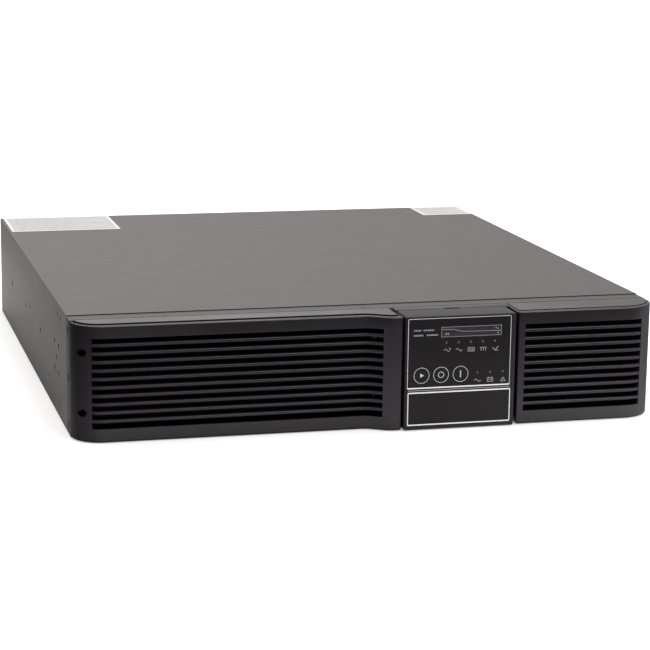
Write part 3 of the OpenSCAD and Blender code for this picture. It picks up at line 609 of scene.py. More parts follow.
def round_edges(bm, edges, radius, segments, clamp=False):
    bmesh.ops.bevel(bm, geom=edges, offset=radius * MM, segments=segments, profile=0.5,
                    affect="EDGES", clamp_overlap=clamp)


def add_box(bm, x_range, y_range, z_range, radius=0.0, segments=2):
    corners = [bm.verts.new(mm(x, y, z)) for x in x_range for y in y_range for z in z_range]
    quads = ((0, 1, 3, 2), (4, 6, 7, 5), (0, 4, 5, 1), (2, 3, 7, 6), (0, 2, 6, 4), (1, 5, 7, 3))
    faces = [bm.faces.new([corners[i] for i in quad]) for quad in quads]
    bmesh.ops.recalc_face_normals(bm, faces=faces)
    if radius > 0:
        round_edges(bm, list({e for f in faces for e in f.edges}), radius, segments, clamp=True)


def on_axis(origin, axis, u, v, along):
    """A point given across (u, v) and along an axis through origin."""
    x, y, z = origin
    if axis == "y":
        return mm(x + u, y + along, z + v)
    if axis == "z":
        return mm(x + u, y + v, z + along)
    return mm(x + along, y + u, z + v)


def lathe(bm, profile, origin, axis="y", segments=32, closed=False):
    """Turn (radius, along) points about an axis. Radius 0 closes an end."""
    rings = []
    for radius, along in profile:
        ring = []
        for k in range(1 if radius < 1e-6 else segments):
            turn = 2 * math.pi * k / segments
            ring.append(bm.verts.new(on_axis(origin, axis, radius * math.cos(turn),
                                             radius * math.sin(turn), along)))
        rings.append(ring)
    pairs = list(zip(rings, rings[1:]))
    if closed:
        pairs.append((rings[-1], rings[0]))
    faces = []
    for a, b in pairs:
        for k in range(segments):
            k2 = (k + 1) % segments
            if len(a) == 1:
                corners = (a[0], b[k2], b[k])
            elif len(b) == 1:
                corners = (a[k], a[k2], b[0])
            else:
                corners = (a[k], a[k2], b[k2], b[k])
            faces.append(bm.faces.new(corners))
    bmesh.ops.recalc_face_normals(bm, faces=faces)


def loft(bm, rings):
    """Skin a row of closed rings and cap both ends."""
    faces = []
    size = len(rings[0])
    for a, b in zip(rings, rings[1:]):
        for i in range(size):
            j = (i + 1) % size
            faces.append(bm.faces.new((a[i], a[j], b[j], b[i])))
    faces.append(bm.faces.new(rings[0][::-1]))
    faces.append(bm.faces.new(rings[-1]))
    bmesh.ops.recalc_face_normals(bm, faces=faces)


def join_outlines(bm, a, b):
    """Close two matching outlines into a prism."""
    faces = [bm.faces.new(a), bm.faces.new(b[::-1])]
    for i in range(len(a)):
        j = (i + 1) % len(a)
        faces.append(bm.faces.new((a[i], b[i], b[j], a[j])))
    bmesh.ops.recalc_face_normals(bm, faces=faces)


def prism(bm, points, depth, plane="xz"):
    """Extrude an outline over a depth range: along Y in plane xz, along Z in plane xy."""
    def outline(d):
        return [bm.verts.new(mm(a, d, b) if plane == "xz" else mm(a, b, d)) for a, b in points]
    join_outlines(bm, outline(depth[0]), outline(depth[1]))


def ring_prism(bm, outer, inner, depth):
    """A band between two XZ outlines with the same point count, extruded along Y."""
    outer0, inner0, outer1, inner1 = [[bm.verts.new(mm(x, y, z)) for x, z in points]
                                      for y in depth for points in (outer, inner)]
    faces = []
    for i in range(len(outer)):
        j = (i + 1) % len(outer)
        for corners in ((outer0[i], outer0[j], inner0[j], inner0[i]),
                        (outer1[i], inner1[i], inner1[j], outer1[j]),
                        (outer0[i], outer1[i], outer1[j], outer0[j]),
                        (inner0[i], inner0[j], inner1[j], inner1[i])):
            faces.append(bm.faces.new(corners))
    bmesh.ops.recalc_face_normals(bm, faces=faces)


def rounded(x0, x1, z0, z1, radius, count=5):
    """Outline of a rectangle with round corners."""
    corners = ((x1 - radius, z1 - radius, 0), (x0 + radius, z1 - radius, 90),
               (x0 + radius, z0 + radius, 180), (x1 - radius, z0 + radius, 270))
    points = []
    for cx, cz, start in corners:
        for i in range(count + 1):
            turn = math.radians(start + 90 * i / count)
            points.append((cx + radius * math.cos(turn), cz + radius * math.sin(turn)))
    return points


def circle(cx, cz, radius, count=40):
    turns = [2 * math.pi * i / count for i in range(count)]
    return [(cx + radius * math.cos(t), cz + radius * math.sin(t)) for t in turns]


def stroke(bm, points, width, depth):
    """A mitred line of the given width through XZ points."""
    left, right = [], []
    last = len(points) - 1
    for i in range(len(points)):
        here = Vector(points[i])
        before = (here - Vector(points[i - 1])).normalized() if i > 0 else None
        after = (Vector(points[i + 1]) - here).normalized() if i < last else None
        way = (before + after).normalized() if before and after else (before or after)
        side = Vector((-way.y, way.x))
        mitre = 1.0
        if before and after:
            mitre = 1 / max(0.5, abs(side.dot(Vector((-before.y, before.x)))))
        left.append(here + side * width / 2 * mitre)
        right.append(here - side * width / 2 * mitre)
    prism(bm, [(v.x, v.y) for v in left + right[::-1]], depth)


# ---------------------------------------------------------------- bezels
# A bezel path runs left to right round the outer face. Each point is
# (x, y, normal x, normal y, corner), with y measured from the front plane of the case.
# corner is None, or the shared ((ledge x, y), (inner wall x, y), side) of a squared end.
SLOT_COUNT, SLOT_PITCH, SLOT_HEIGHT, SLOT_Z = 11, 6.15, 3.8, 12.55
LEDGE_FRONT, LEDGE_END = 4.2, 1.12      # ledge depth along the front and at the ends
WALL = 2.4
REAR = -0.1                             # back rim of the bezels
BEZEL_Z0, BEZEL_Z1 = (corner.z for corner in extent("battery_bezel"))
WINDOW_Z0 = SLOT_Z - SLOT_HEIGHT / 2 - 0.5
WINDOW_Z1 = SLOT_Z + SLOT_PITCH * (SLOT_COUNT - 1) + SLOT_HEIGHT / 2 + 0.05
LEFT_WINDOW = (-207.5, 4.8)             # X range of each louvre window
RIGHT_WINDOW = (112.8, 206.2)
CLIP_Z = (18.5, 58.5)


def squared_end(x_end, y_front, side):
    """From the front face round a small corner back to the case; side points inwards."""
    radius = 1.7
    corner = ((x_end + side * LEDGE_END, y_front + LEDGE_FRONT),
              (x_end + side * WALL, y_front + WALL), side)
    points = [(x_end + side * (radius - radius * math.sin(turn)),
               y_front + radius - radius * math.cos(turn),
               -side * math.sin(turn), -math.cos(turn), corner) for turn in quarter(6)]
    corner = ((x_end + side * LEDGE_END, REAR), (x_end + side * WALL, REAR), side)
    points.append((x_end, REAR, -side, 0, corner))
    return points


def left_path():
    radius = 21.8
    cx, cy = -HALF + radius, REAR
    swell_x, swell_width, swell = -9, 22, 9.1   # where the face swells forward, and how far
    y_end = -31
    window_turn = math.acos((cx - LEFT_WINDOW[0]) / radius)
    turns = [0] + steps(0, window_turn, 9) + steps(window_turn, math.pi / 2, 7)
    points = [(cx - radius * math.cos(t), cy - radius * math.sin(t),
               -math.cos(t), -math.sin(t), None) for t in turns]
    points += [(x, cy - radius, 0, -1, None) for x in steps(cx, swell_x, 12)]

    def face(x):
        part = min(1, max(0, (x - swell_x) / swell_width))
        return cy - radius - swell * (1 - math.cos(math.pi * part)) / 2

    for x in steps(swell_x, LEFT_WINDOW[1], 10) + steps(LEFT_WINDOW[1], 13, 5):
        slope = (face(x + 0.05) - face(x - 0.05)) / 0.1
        length = math.hypot(slope, -1)
        points.append((x, face(x), slope / length, -1 / length, None))
    return points + squared_end(18.9, y_end, -1)


def right_path():
    radius = 26.0
    y_front = -30.8
    cx, cy = HALF - radius, y_front + radius
    points = squared_end(107.5, y_front, 1)[::-1]
    xs = [RIGHT_WINDOW[0]] + steps(RIGHT_WINDOW[0], cx, 8)
    points += [(x, y_front, 0, -1, None) for x in xs]
    window_turn = math.asin((RIGHT_WINDOW[1] - cx) / radius)
    points += [(cx + radius * math.sin(t), cy - radius * math.cos(t),
                math.sin(t), -math.cos(t), None)
               for t in steps(0, window_turn, 6) + steps(window_turn, math.pi / 2, 9)]
    points.append((HALF, REAR, 1, 0, None))
    return points


def bezel_shell(bm, points, window, ledge_drop, groove):
    """Hollow moulding open at the back, with one window. Returns the path's window points.

    ledge_drop: depth of the ledge below the top; groove: width of the groove behind it.
    """
    low_r, top_r = 1.5, 1.0
    ledge_z = BEZEL_Z1 - ledge_drop
    # outer face from the bottom up: (z, inset)
    rows = [(BEZEL_Z0 + low_r - low_r * math.sin(t), low_r - low_r * math.cos(t))
            for t in reversed(quarter(5))]
    rows.append((WINDOW_Z0, 0.0))
    sill = len(rows)
    rows.append((WINDOW_Z1, 0.0))
    rows += [(ledge_z - top_r + top_r * math.sin(t), top_r - top_r * math.cos(t))
             for t in quarter(5)]
    # (z, inset from the ledge depth)
    ledge = [(ledge_z, -0.05), (ledge_z - 0.9, 0.0), (ledge_z - 0.9, groove),
             (BEZEL_Z1 - 0.12, groove + 0.05), (BEZEL_Z1, groove + 0.17)]

    def vertex(x, y, z):
        return bm.verts.new(mm(x, min(FRONT + REAR, FRONT + y), z))

    columns = []
    for x, y, nx, ny, corner in points:
        outer = [vertex(x - nx * inset, y - ny * inset, z) for z, inset in rows]
        depth = LEDGE_END + (LEDGE_FRONT - LEDGE_END) * abs(ny)
        for z, inset in ledge:
            if corner:
                (lx, ly), _, side = corner
                outer.append(vertex(lx + side * inset, ly + inset, z))
            else:
                reach = depth + inset
                outer.append(vertex(x - nx * reach, y - ny * reach, z))
        # back ends of the bottom and top flanges
        outer = ([vertex(x - nx * low_r, REAR, BEZEL_Z0)] + outer
                 + [vertex(outer[-1].co.x / MM, REAR, BEZEL_Z1)])
        xi, yi = corner[1] if corner else (x - nx * WALL, y - ny * WALL)
        inner = [vertex(xi, REAR, BEZEL_Z0 + WALL), vertex(xi, yi, BEZEL_Z0 + WALL),
                 vertex(xi, yi, WINDOW_Z0), vertex(xi, yi, WINDOW_Z1),
                 vertex(xi, yi, BEZEL_Z1 - WALL), vertex(xi, REAR, BEZEL_Z1 - WALL)]
        columns.append((outer, inner))

    in_window = [window[0] - 1e-6 <= p[0] <= window[1] + 1e-6 and p[1] < -10 for p in points]
    for i in range(len(points) - 1):
        (a, ai), (b, bi) = columns[i], columns[i + 1]
        opening = in_window[i] and in_window[i + 1]
        for k in range(len(a) - 1):
            if not (opening and k == sill):
                bm.faces.new((a[k], b[k], b[k + 1], a[k + 1]))
        for k in range(len(ai) - 1):
            if not (opening and k == 2):
                bm.faces.new((ai[k], ai[k + 1], bi[k + 1], bi[k]))
        # back rims
        bm.faces.new((a[0], ai[0], bi[0], b[0]))
        bm.faces.new((a[-1], b[-1], bi[-1], ai[-1]))
        if opening:     # window sill and head
            bm.faces.new((a[sill], b[sill], bi[2], ai[2]))
            bm.faces.new((a[sill + 1], ai[3], bi[3], b[sill + 1]))
    selected = [i for i, inside in enumerate(in_window) if inside]
    for i in (selected[0], selected[-1]):       # window jambs
        a, ai = columns[i]
        bm.faces.new((a[sill], a[sill + 1], ai[3], ai[2]))
    for a, ai in (columns[0], columns[-1]):     # end rims
        bm.faces.new(a + ai[::-1])
    bmesh.ops.remove_doubles(bm, verts=bm.verts, dist=2e-6)
    drop_slivers(bm, 1e-12)
    bmesh.ops.recalc_face_normals(bm, faces=bm.faces)
    return [points[i] for i in selected]


def add_louvres(bm, path):
    """Slats that follow the face, rounded in front, their ends sunk into the jambs."""
    depth, low_r, top_r, inset, sunk = 10.5, 1.0, 0.8, 0.2, 0.6

    def beyond(end, neighbour):
        away = Vector((end[0] - neighbour[0], end[1] - neighbour[1])).normalized()
        return (end[0] + away.x * sunk, end[1] + away.y * sunk, *end[2:])

    stations = [beyond(path[0], path[1])] + path + [beyond(path[-1], path[-2])]
    for k in range(SLOT_COUNT - 1):
        low = SLOT_Z + SLOT_PITCH * k + SLOT_HEIGHT / 2 - 0.3
        high = SLOT_Z + SLOT_PITCH * (k + 1) - SLOT_HEIGHT / 2
        # (z, depth behind the face)
        section = [(high - top_r + top_r * math.sin(t), inset + top_r - top_r * math.cos(t))
                   for t in quarter(4)]
        section += [(high, depth), (low, depth)]
        section += [(low + low_r - low_r * math.cos(t), inset + low_r - low_r * math.sin(t))
                    for t in quarter(4)]
        loft(bm, [[bm.verts.new(mm(x - nx * d, FRONT + y - ny * d, z)) for z, d in section]
                  for x, y, nx, ny, _ in stations])


def battery_bezel():
    screw_x, screw_zs, hole_r = -213.5, (21.2, 65.2), 2.9
    bm = bmesh.new()
    path = bezel_shell(bm, left_path(), LEFT_WINDOW, ledge_drop=0.8, groove=1.9)
    shell = to_object(bm, "battery_bezel_moulding")
    holes = bmesh.new()
    for z in screw_zs:
        lathe(holes, [(0, -26), (hole_r, -26), (hole_r, -1), (0, -1)], (screw_x, FRONT, z),
              segments=36)
    carve(shell, holes)
    bm = bmesh.new()
    absorb(bm, shell)
    well = [(hole_r, -9.6), (4.1, -9.6), (4.1, -0.3), (1.7, -0.3), (1.7, -4), (hole_r, -4)]
    for z in screw_zs:
        lathe(bm, well, (screw_x, FRONT, z), segments=36, closed=True)
    add_louvres(bm, path)
    for z in CLIP_Z:
        add_box(bm, (12.4, 15), (FRONT - 28.9, FRONT + 3.4), (z, z + 10), 0.3)
    finish(bm, "battery_bezel_moulding", BEZEL, "front_battery_bezel",
           "battery_bezel", smooth=34)


def intake_bezel():
    bm = bmesh.new()
    path = bezel_shell(bm, right_path(), RIGHT_WINDOW, ledge_drop=0.45, groove=0.5)
    add_louvres(bm, path)
    for z in CLIP_Z:
        for x, hook in ((108.8, (107.6, 109)), (206.6, (209, 210.4))):
            add_box(bm, (x, x + 2.6), (FRONT - 22.6, FRONT + 3.4), (z, z + 10), 0.3)
            add_box(bm, hook, (FRONT + 1.6, FRONT + 3.4), (z, z + 10), 0.2)
    finish(bm, "intake_bezel_moulding", BEZEL, "chassis", "vent_bezel",
           smooth=34)


def bay_wall():
    """Hollowed wall behind the display module, with a bored boss and a top notch."""
    centre = (MODULE_X, FRONT, MID_Z)
    bm = bmesh.new()
    add_box(bm, (19.2, 106.45), (FRONT - 9.3, FRONT + REAR), (BEZEL_Z0, BEZEL_Z1))
    front_edges = [e for e in bm.edges
                   if abs((e.verts[0].co - e.verts[1].co).x) > 0.01
                   and (e.verts[0].co.y + e.verts[1].co.y) / 2 * 1000 < FRONT - 5]
    round_edges(bm, front_edges, 0.8, 3)
    ob = to_object(bm, "intake_bezel_bay_wall")
    hollow = bmesh.new()
    add_box(hollow, (21.8, 104), (FRONT - 6.6, FRONT + 1), (2.8, 83.2))
    carve(ob, hollow)
    boss = bmesh.new()
    lathe(boss, [(0, -9.2), (14.4, -9.2), (14.4, -0.3), (0, -0.3)], centre, segments=64)
    carve(ob, boss, "UNION")
    bore = bmesh.new()
    lathe(bore, [(0, -12), (12.06, -12), (12.06, 1), (0, 1)], centre, segments=64)
    add_box(bore, (MODULE_X - 6, MODULE_X + 6), (FRONT - 12, FRONT - 7.7), (84.2, 88), 0.5)
    carve(ob, bore)
    ob.data.materials.append(BEZEL)
    shade(ob, 30)
    register(ob, "chassis", "vent_bezel")


battery_bezel()
intake_bezel()
bay_wall()

# ---------------------------------------------------------------- display module
KEY_Z = 41.2
KEY_XS = [32.7 + i * 14.95 for i in range(3)]
UPPER_LAMPS = [(51.3 + i * 9.33, 65) for i in range(5)]
LOWER_LAMPS = [(75.8 + i * 9.8, 41.6) for i in range(3)]
LAMPS = UPPER_LAMPS + LOWER_LAMPS
OVERLAY = (21.6, 101.1, 31.1, 83.9)     # x0, x1, z0, z1 of the two film plates
BADGE = (22.1, 101.85, 3.5, 28.95)


def housing():
    x0, x1, z0, z1 = MODULE_LO.x, MODULE_HI.x, MODULE_LO.z, MODULE_HI.z
    gap, wall = 0.1, 2.6
    bm = bmesh.new()
    add_box(bm, (x0, x1), (FACE, FRONT - 9.5), (z0, z1))
    corners = [e for e in bm.edges if abs(e.verts[0].co.y - e.verts[1].co.y) > 0.005]
    round_edges(bm, corners, 1.5, 4)
    rim = [e for e in bm.edges if all(abs(v.co.y * 1000 - FACE) < 0.01 for v in e.verts)]
    round_edges(bm, rim, 1.0, 4)
    ob = to_object(bm, "display_housing_moulding")
    # plate seats, hollow, then key and lamp holes: (outline, depth)
    cuts = [(rounded(a - gap, b + gap, c - gap, d + gap, 1.0), (FACE - 1, FACE + 1.4))
            for a, b, c, d in (OVERLAY, BADGE)]
    cuts.append((rounded(x0 + wall, x1 - wall, z0 + wall, z1 - wall, 1.0),
                 (FACE + 4.6, FRONT - 12)))
    through = (FACE + 0.6, FACE + 5.2)
    cuts += [(circle(x, KEY_Z, 6.6, 48), through) for x in KEY_XS]
    cuts += [(circle(x, z, 1.15, 20), through) for x, z in LAMPS]
    for outline, depth in cuts:
        cutter = bmesh.new()
        prism(cutter, outline, depth)
        carve(ob, cutter)
    bm = bmesh.new()
    absorb(bm, ob)
    spigot = [(10, -11.9), (12, -11.9), (12, 23.4), (11.4, 24), (10.4, 24), (10, 23.6)]
    lathe(bm, spigot, (MODULE_X, FRONT, MID_Z), segments=64, closed=True)
    finish(bm, "display_housing_moulding", MODULE, "display_module",
           "display_housing", smooth=30)


def film_plate(name, node, rectangle, holes):
    bm = bmesh.new()
    prism(bm, rounded(*rectangle, 0.9), (FACE, FACE + 1.3))
    ob = to_object(bm, name)
    if holes:
        cutter = bmesh.new()
        for hole in holes:
            prism(cutter, hole, (FACE - 1, FACE + 3))
        carve(ob, cutter)
    ob.data.materials.append(FILM)
    shade(ob, 30)
    add_bevel(ob, 0.16, angle=50)
    register(ob, "display_module", node)


housing()
film_plate("display_overlay_film", "display_overlay", OVERLAY,
           [circle(x, KEY_Z, 6.2, 56) for x in KEY_XS]
           + [circle(x, z, 1.05, 20) for x, z in LAMPS]
           + [rounded(46.9, 93.7, 69.0, 77.1, 0.3, 2)])
film_plate("badge_plate_film", "badge_plate", BADGE, [])

# ---------------------------------------------------------------- printing on the module
PRINT = (FACE - 0.04, FACE + 0.05)      # a few hundredths proud of the film
METER_PRINT = (FACE + 0.02, FACE + 0.12)
KEY_PRINT = (FACE, FACE + 0.12)


def border(bm, x0, x1, z0, z1, width, radii, depth=PRINT):
    """An even rectangular frame; radii are the outer and inner corner radius."""
    ring_prism(bm, rounded(x0, x1, z0, z1, radii[0], 2),
               rounded(x0 + width, x1 - width, z0 + width, z1 - width, radii[1], 2), depth)


def draw(bm, cx, cz, strokes, depth=PRINT):
    """Strokes about a centre, each (width, point, point, ...)."""
    for width, *points in strokes:
        stroke(bm, [(cx + x, cz + z) for x, z in points], width, depth)


def plate_outlines():
    bm = bmesh.new()
    # x0, x1, z0, z1, then the line width at the sides, top and bottom
    for x0, x1, z0, z1, side, top, bottom in ((21.85, 100.85, 31.3, 83.65, 0.31, 0.30, 0.95),
                                              (22.4, 101.55, 3.7, 28.75, 0.62, 0.95, 0.9)):
        ring_prism(bm, rounded(x0, x1, z0, z1, 0.9),
                   rounded(x0 + side, x1 - side, z0 + bottom, z1 - top, 0.4), PRINT)
    finish_print(bm, "plate_outline_print", WHITE)


def meter_frame():
    """Long window frame with a wedge scale and small marks."""
    bm = bmesh.new()
    border(bm, 47.2, 93.4, 69.3, 76.85, 0.3, (0.15, 0.1), METER_PRINT)
    draw(bm, 0, 0, [(0.34, (47.3, 75.15), (56.0, 74.85), (62.5, 73.2), (70, 72.95),
                     (93.3, 72.75))], METER_PRINT)
    border(bm, 50.2, 52.9, 70.9, 72.3, 0.3, (0.12, 0.08), METER_PRINT)
    draw(bm, 0, 0, [(0.3, (53.1, 71.3), (53.1, 71.9)),
                    (0.3, (88.6, 74.4), (89.4, 75.2), (90.4, 74.0), (91.2, 74.8)),
                    (0.3, (90.0, 71.2), (91.8, 71.2)),
                    (0.3, (90.9, 70.4), (90.9, 72.0))], METER_PRINT)
    finish_print(bm, "meter_frame_print", GREY)


def plate_ridge_painted_highlight():
    """Ridge between the two plates, printed grey as a painted highlight along it."""
    bm = bmesh.new()
    prism(bm, rounded(22.6, 101.2, 29.78, 30.25, 0.2, 3), (FACE - 0.06, FACE + 0.3))
    finish(bm, "plate_ridge_painted_highlight", GREY, "display_module", smooth=30)


def wave_symbol(bm, cx, cz, width=5.0, height=0.95):
    stroke(bm, [(cx - width / 2 + width * i / 12, cz + height * math.sin(2 * math.pi * i / 12))
                for i in range(13)], 0.42, PRINT)


def arrow_symbol(bm, cx, cz):
    wave_symbol(bm, cx, cz, 4.4, 0.9)
    draw(bm, cx, cz, [(0.4, (1.3, 1.6), (2.6, 1.3), (2.4, 0.1))])


def cross_symbol(bm, cx, cz):
    border(bm, cx - 2.6, cx + 2.6, cz - 1.6, cz + 1.6, 0.4, (0.2, 0.15))
    draw(bm, cx, cz, [(0.4, (-1.9, -1.0), (1.9, 1.0)), (0.4, (-1.9, 1.0), (1.9, -1.0))])


def bars_symbol(bm, cx, cz):
    draw(bm, cx, cz, [(0.5, (x, -1.4), (x, 1.4)) for x in (-1.8, 0, 1.8)])
    draw(bm, cx, cz, [(0.4, (-2.6, 1.0), (2.6, 1.0))])


def tick_symbol(bm, cx, cz):
    draw(bm, cx, cz, [(0.5, (-2.2, 0.9), (-0.4, -1.4), (2.3, 1.5)),
                      (0.4, (0.4, -1.4), (2.4, -1.4))])


def battery_symbol(bm, cx, cz):
    border(bm, cx - 2.3, cx + 2.3, cz - 1.6, cz + 1.4, 0.45, (0.2, 0.15))
    for x in (cx - 1.2, cx + 1.2):
        prism(bm, rounded(x - 0.5, x + 0.5, cz + 1.4, cz + 2.0, 0.1, 2), PRINT)
    draw(bm, cx, cz, [(0.35, (-1.3, 0), (-0.3, 0)), (0.35, (0.4, 0), (1.4, 0)),
                      (0.35, (0.9, -0.5), (0.9, 0.5))])


def triangle_symbol(bm, cx, cz):
    ring_prism(bm, [(cx - 2.2, cz - 1.5), (cx + 2.2, cz - 1.5), (cx, cz + 2.1)],
               [(cx - 1.4, cz - 1.1), (cx + 1.4, cz - 1.1), (cx, cz + 1.25)], PRINT)
    draw(bm, cx, cz, [(0.35, (0, 0.6), (0, -0.3))])


def lamp_symbols():
    bm = bmesh.new()
    upper = (arrow_symbol, wave_symbol, cross_symbol, bars_symbol, tick_symbol)
    for symbol, (x, _) in zip(upper, UPPER_LAMPS):
        symbol(bm, x + 0.4, 59.4)
    # symbol, shift from its lamp, height
    lower = ((wave_symbol, 0.1, 35.8), (battery_symbol, 0, 35.9), (triangle_symbol, 0.2, 35.6))
    for (symbol, shift, z), (x, _) in zip(lower, LOWER_LAMPS):
        symbol(bm, x + shift, z)
    finish_print(bm, "symbol_print", GREY)


def legend_dashes():
    """Broken dashes of random length beside the meter window."""
    bm = bmesh.new()
    for z, spans in ((74.9, ((26.2, 31.6), (33.4, 41.4))), (71.2, ((26.2, 34.0), (36.0, 44.6)))):
        for x, end in spans:
            while x < end - 0.4:
                width = 0.9 + 0.5 * random.random()
                prism(bm, rounded(x, min(end, x + width), z - 0.55, z + 0.55, 0.12, 2), PRINT)
                x += width + 0.45
    finish_print(bm, "legend_dash_print", GREY)


def round_key(node, x, symbol):
    """A slightly domed cap with a printed rim and one symbol."""
    bm = bmesh.new()
    cap = [(0, 0.10), (3.2, 0.08), (5.0, 0.04), (5.55, 0.0), (5.82, 0.06), (5.96, 0.22),
           (6.0, 0.5), (6.0, 4.0), (2.0, 4.0), (2.0, 4.1), (0, 4.1)]
    lathe(bm, cap, (x, FACE, KEY_Z), segments=64)
    finish(bm, node + "_cap", KEY, node, node, weld=True)
    bm = bmesh.new()
    ring_prism(bm, circle(x, KEY_Z, 5.93, 64), circle(x, KEY_Z, 5.59, 64),
               (FACE - 0.04, FACE + 0.09))
    if symbol == "triangle":
        prism(bm, [(x - 1.0, KEY_Z - 1.55), (x - 1.0, KEY_Z + 1.55), (x + 1.9, KEY_Z)],
              KEY_PRINT)
    elif symbol == "ring":
        ring_prism(bm, circle(x, KEY_Z, 2.32), circle(x, KEY_Z, 1.88), KEY_PRINT)
    else:
        prism(bm, rounded(x - 0.38, x + 0.38, 38.6, 43.8, 0.1, 2), KEY_PRINT)
    finish_print(bm, node + "_print", KEY_INK, node)


def lamp_lenses():
    bm = bmesh.new()
    dome = [(0, 0.02), (0.45, 0.06), (0.8, 0.18), (0.97, 0.4), (1.0, 0.7), (1.0, 7.0), (0, 7.0)]
    for x, z in LAMPS:
        lathe(bm, dome, (x, FACE, z), segments=24)
    finish(bm, "indicator_lens_caps", LENS, "display_module", "indicator_lenses",
           weld=True)


plate_outlines()
meter_frame()
plate_ridge_painted_highlight()
lamp_symbols()
legend_dashes()
for node, x, symbol in zip(("test_key", "off_key", "on_key"), KEY_XS,
                           ("triangle", "ring", "bar")):
    round_key(node, x, symbol)
lamp_lenses()


# ---------------------------------------------------------------- case sheets
def label_print():
    """Pale ground inside a paper margin, with ruled bars of random length."""
    ground, rules = bmesh.new(), bmesh.new()
    top = extent("top_labels")[1].z
    y1 = BACK - 1
    for x0, x1, y0 in ((-217.5, -121, FRONT + 384), (171.5, 219, FRONT + 412.5)):
        prism(ground, rounded(x0 + 2.4, x1 - 2.4, y0 + 3.2, y1 - 3.2, 0.6, 3),
              (top - 0.03, top + 0.012), "xy")
        count = max(2, int((y1 - y0 - 10) / 9))
        for i in range(count):
            y = y0 + 8 + (y1 - y0 - 16) * i / max(1, count - 1)
            x = x0 + 7
            limit = x0 + (x1 - x0) * (0.62 if i % 3 else 0.9)
            while x < limit - 6:
                width = 5 + 13 * random.random()
                prism(rules, rounded(x, min(limit, x + width), y - 1.1, y + 1.1, 0.2, 2),
                      (top - 0.02, top + 0.022), "xy")
                x += width + 2.2
    finish_print(ground, "label_ground_print", LABEL_GROUND, "chassis")
    finish_print(rules, "label_rule_print", LABEL_RULE, "chassis")


STRIP_DROP = 0.6    # the strip sits under the cover, so the cover's cut edge shows
case_sheet("top_cover", "top_cover_sheet", CASE, 0.28, segments=3, corner_top=TOP)
case_sheet("front_frame", "front_frame_sheet", STRIP, 0.22, segments=3,
           corner_top=TOP - STRIP_DROP, drop=STRIP_DROP)
case_sheet("base_chassis", "base_chassis_sheet", CASE, 0.25)
case_sheet("rear_panel", "rear_panel_sheet", CASE, 0.2, merge=False)
case_sheet("comm_slot_cover", "card_slot_cover_sheet", CASE, 0.0, merge=False)
dress("top_labels", PAPER, 0)
label_print()


# ---------------------------------------------------------------- screws
def screw(bm, place, axis, head, shank, slotted=False, sign=1, flat=False, reach=1.0):
    """A headed screw; head and shank are (radius, length).

    The head stands towards sign * axis, the ridged shank behind it.
    reach scales the length of the drive recess.
    """
    head_r, head_h = head
    shank_r, length = shank
    # (part of head radius, part of head height)
    crown = ((0.6, 1), (0.95, 0.99), (0.99, 0.93)) if flat else ((0.45, 1), (0.8, 0.86),
                                                                 (0.97, 0.5))
    profile = [(0, head_h)] + [(head_r * r, head_h * h) for r, h in crown]
    profile += [(head_r, 0.05), (head_r, 0), (shank_r, 0)]
    for k in range(int(length / 0.7)):
        profile += [(shank_r, -(0.7 * k + 0.2)), (shank_r * 0.86, -(0.7 * k + 0.55))]
    profile += [(shank_r * 0.7, -length), (0, -length)]
    blank = bmesh.new()
    lathe(blank, [(r, sign * along) for r, along in profile], place, axis, 28)
    ob = to_object(blank)
    # recess outline: a slot or a cross
    w = head_r * 0.13 * (reach + 1) / 2
    arm = head_r * 0.62 * reach
    if slotted:
        arm *= 1.5
        outline = [(arm, -w), (arm, w), (-arm, w), (-arm, -w)]
    else:
        outline = [(arm, -w), (arm, w), (w, w), (w, arm), (-w, arm), (-w, w),
                   (-arm, w), (-arm, -w), (-w, -w), (-w, -arm), (w, -arm), (w, -w)]
    recess = bmesh.new()
    floor, mouth = [[recess.verts.new(on_axis(place, axis, u, v, sign * along))
                     for u, v in outline] for along in (head_h - head_h * 0.62, head_h + 1)]
    join_outlines(recess, floor, mouth)
    carve(ob, recess)
    absorb(bm, ob)


def screw_set(name, material, body, node, screws):
    """screws: (place, screw arguments) pairs."""
    bm = bmesh.new()
    for place, kind in screws:
        screw(bm, place, **kind)
    finish(bm, name, material, body, node, smooth=35)


FAN_X = sum(corner.x for corner in extent("fan_frame")) / 2
FAN_HOLE = 35.75    # fan screw offset from the fan centre
STRIP_TOP_KIND = dict(axis="z", head=(2.97, 0.67), shank=(1.5, 5.5), flat=True, reach=0.5)
STRIP_SIDE_KIND = dict(axis="x", head=(2.97, 0.95), shank=(1.5, 5.4), flat=True, reach=0.9)
BEZEL_KIND = dict(axis="y", head=(2.65, 2.0), shank=(1.45, 9.8), sign=-1)
TRAY_KIND = dict(axis="y", head=(3.8, 3.9), shank=(1.45, 5.3), slotted=True, sign=-1)
FAN_KIND = dict(axis="y", head=(3.55, 1.95), shank=(1.9, 11.5))
CARD_KIND = dict(axis="y", head=(3.55, 2.4), shank=(1.5, 7.2), slotted=True)

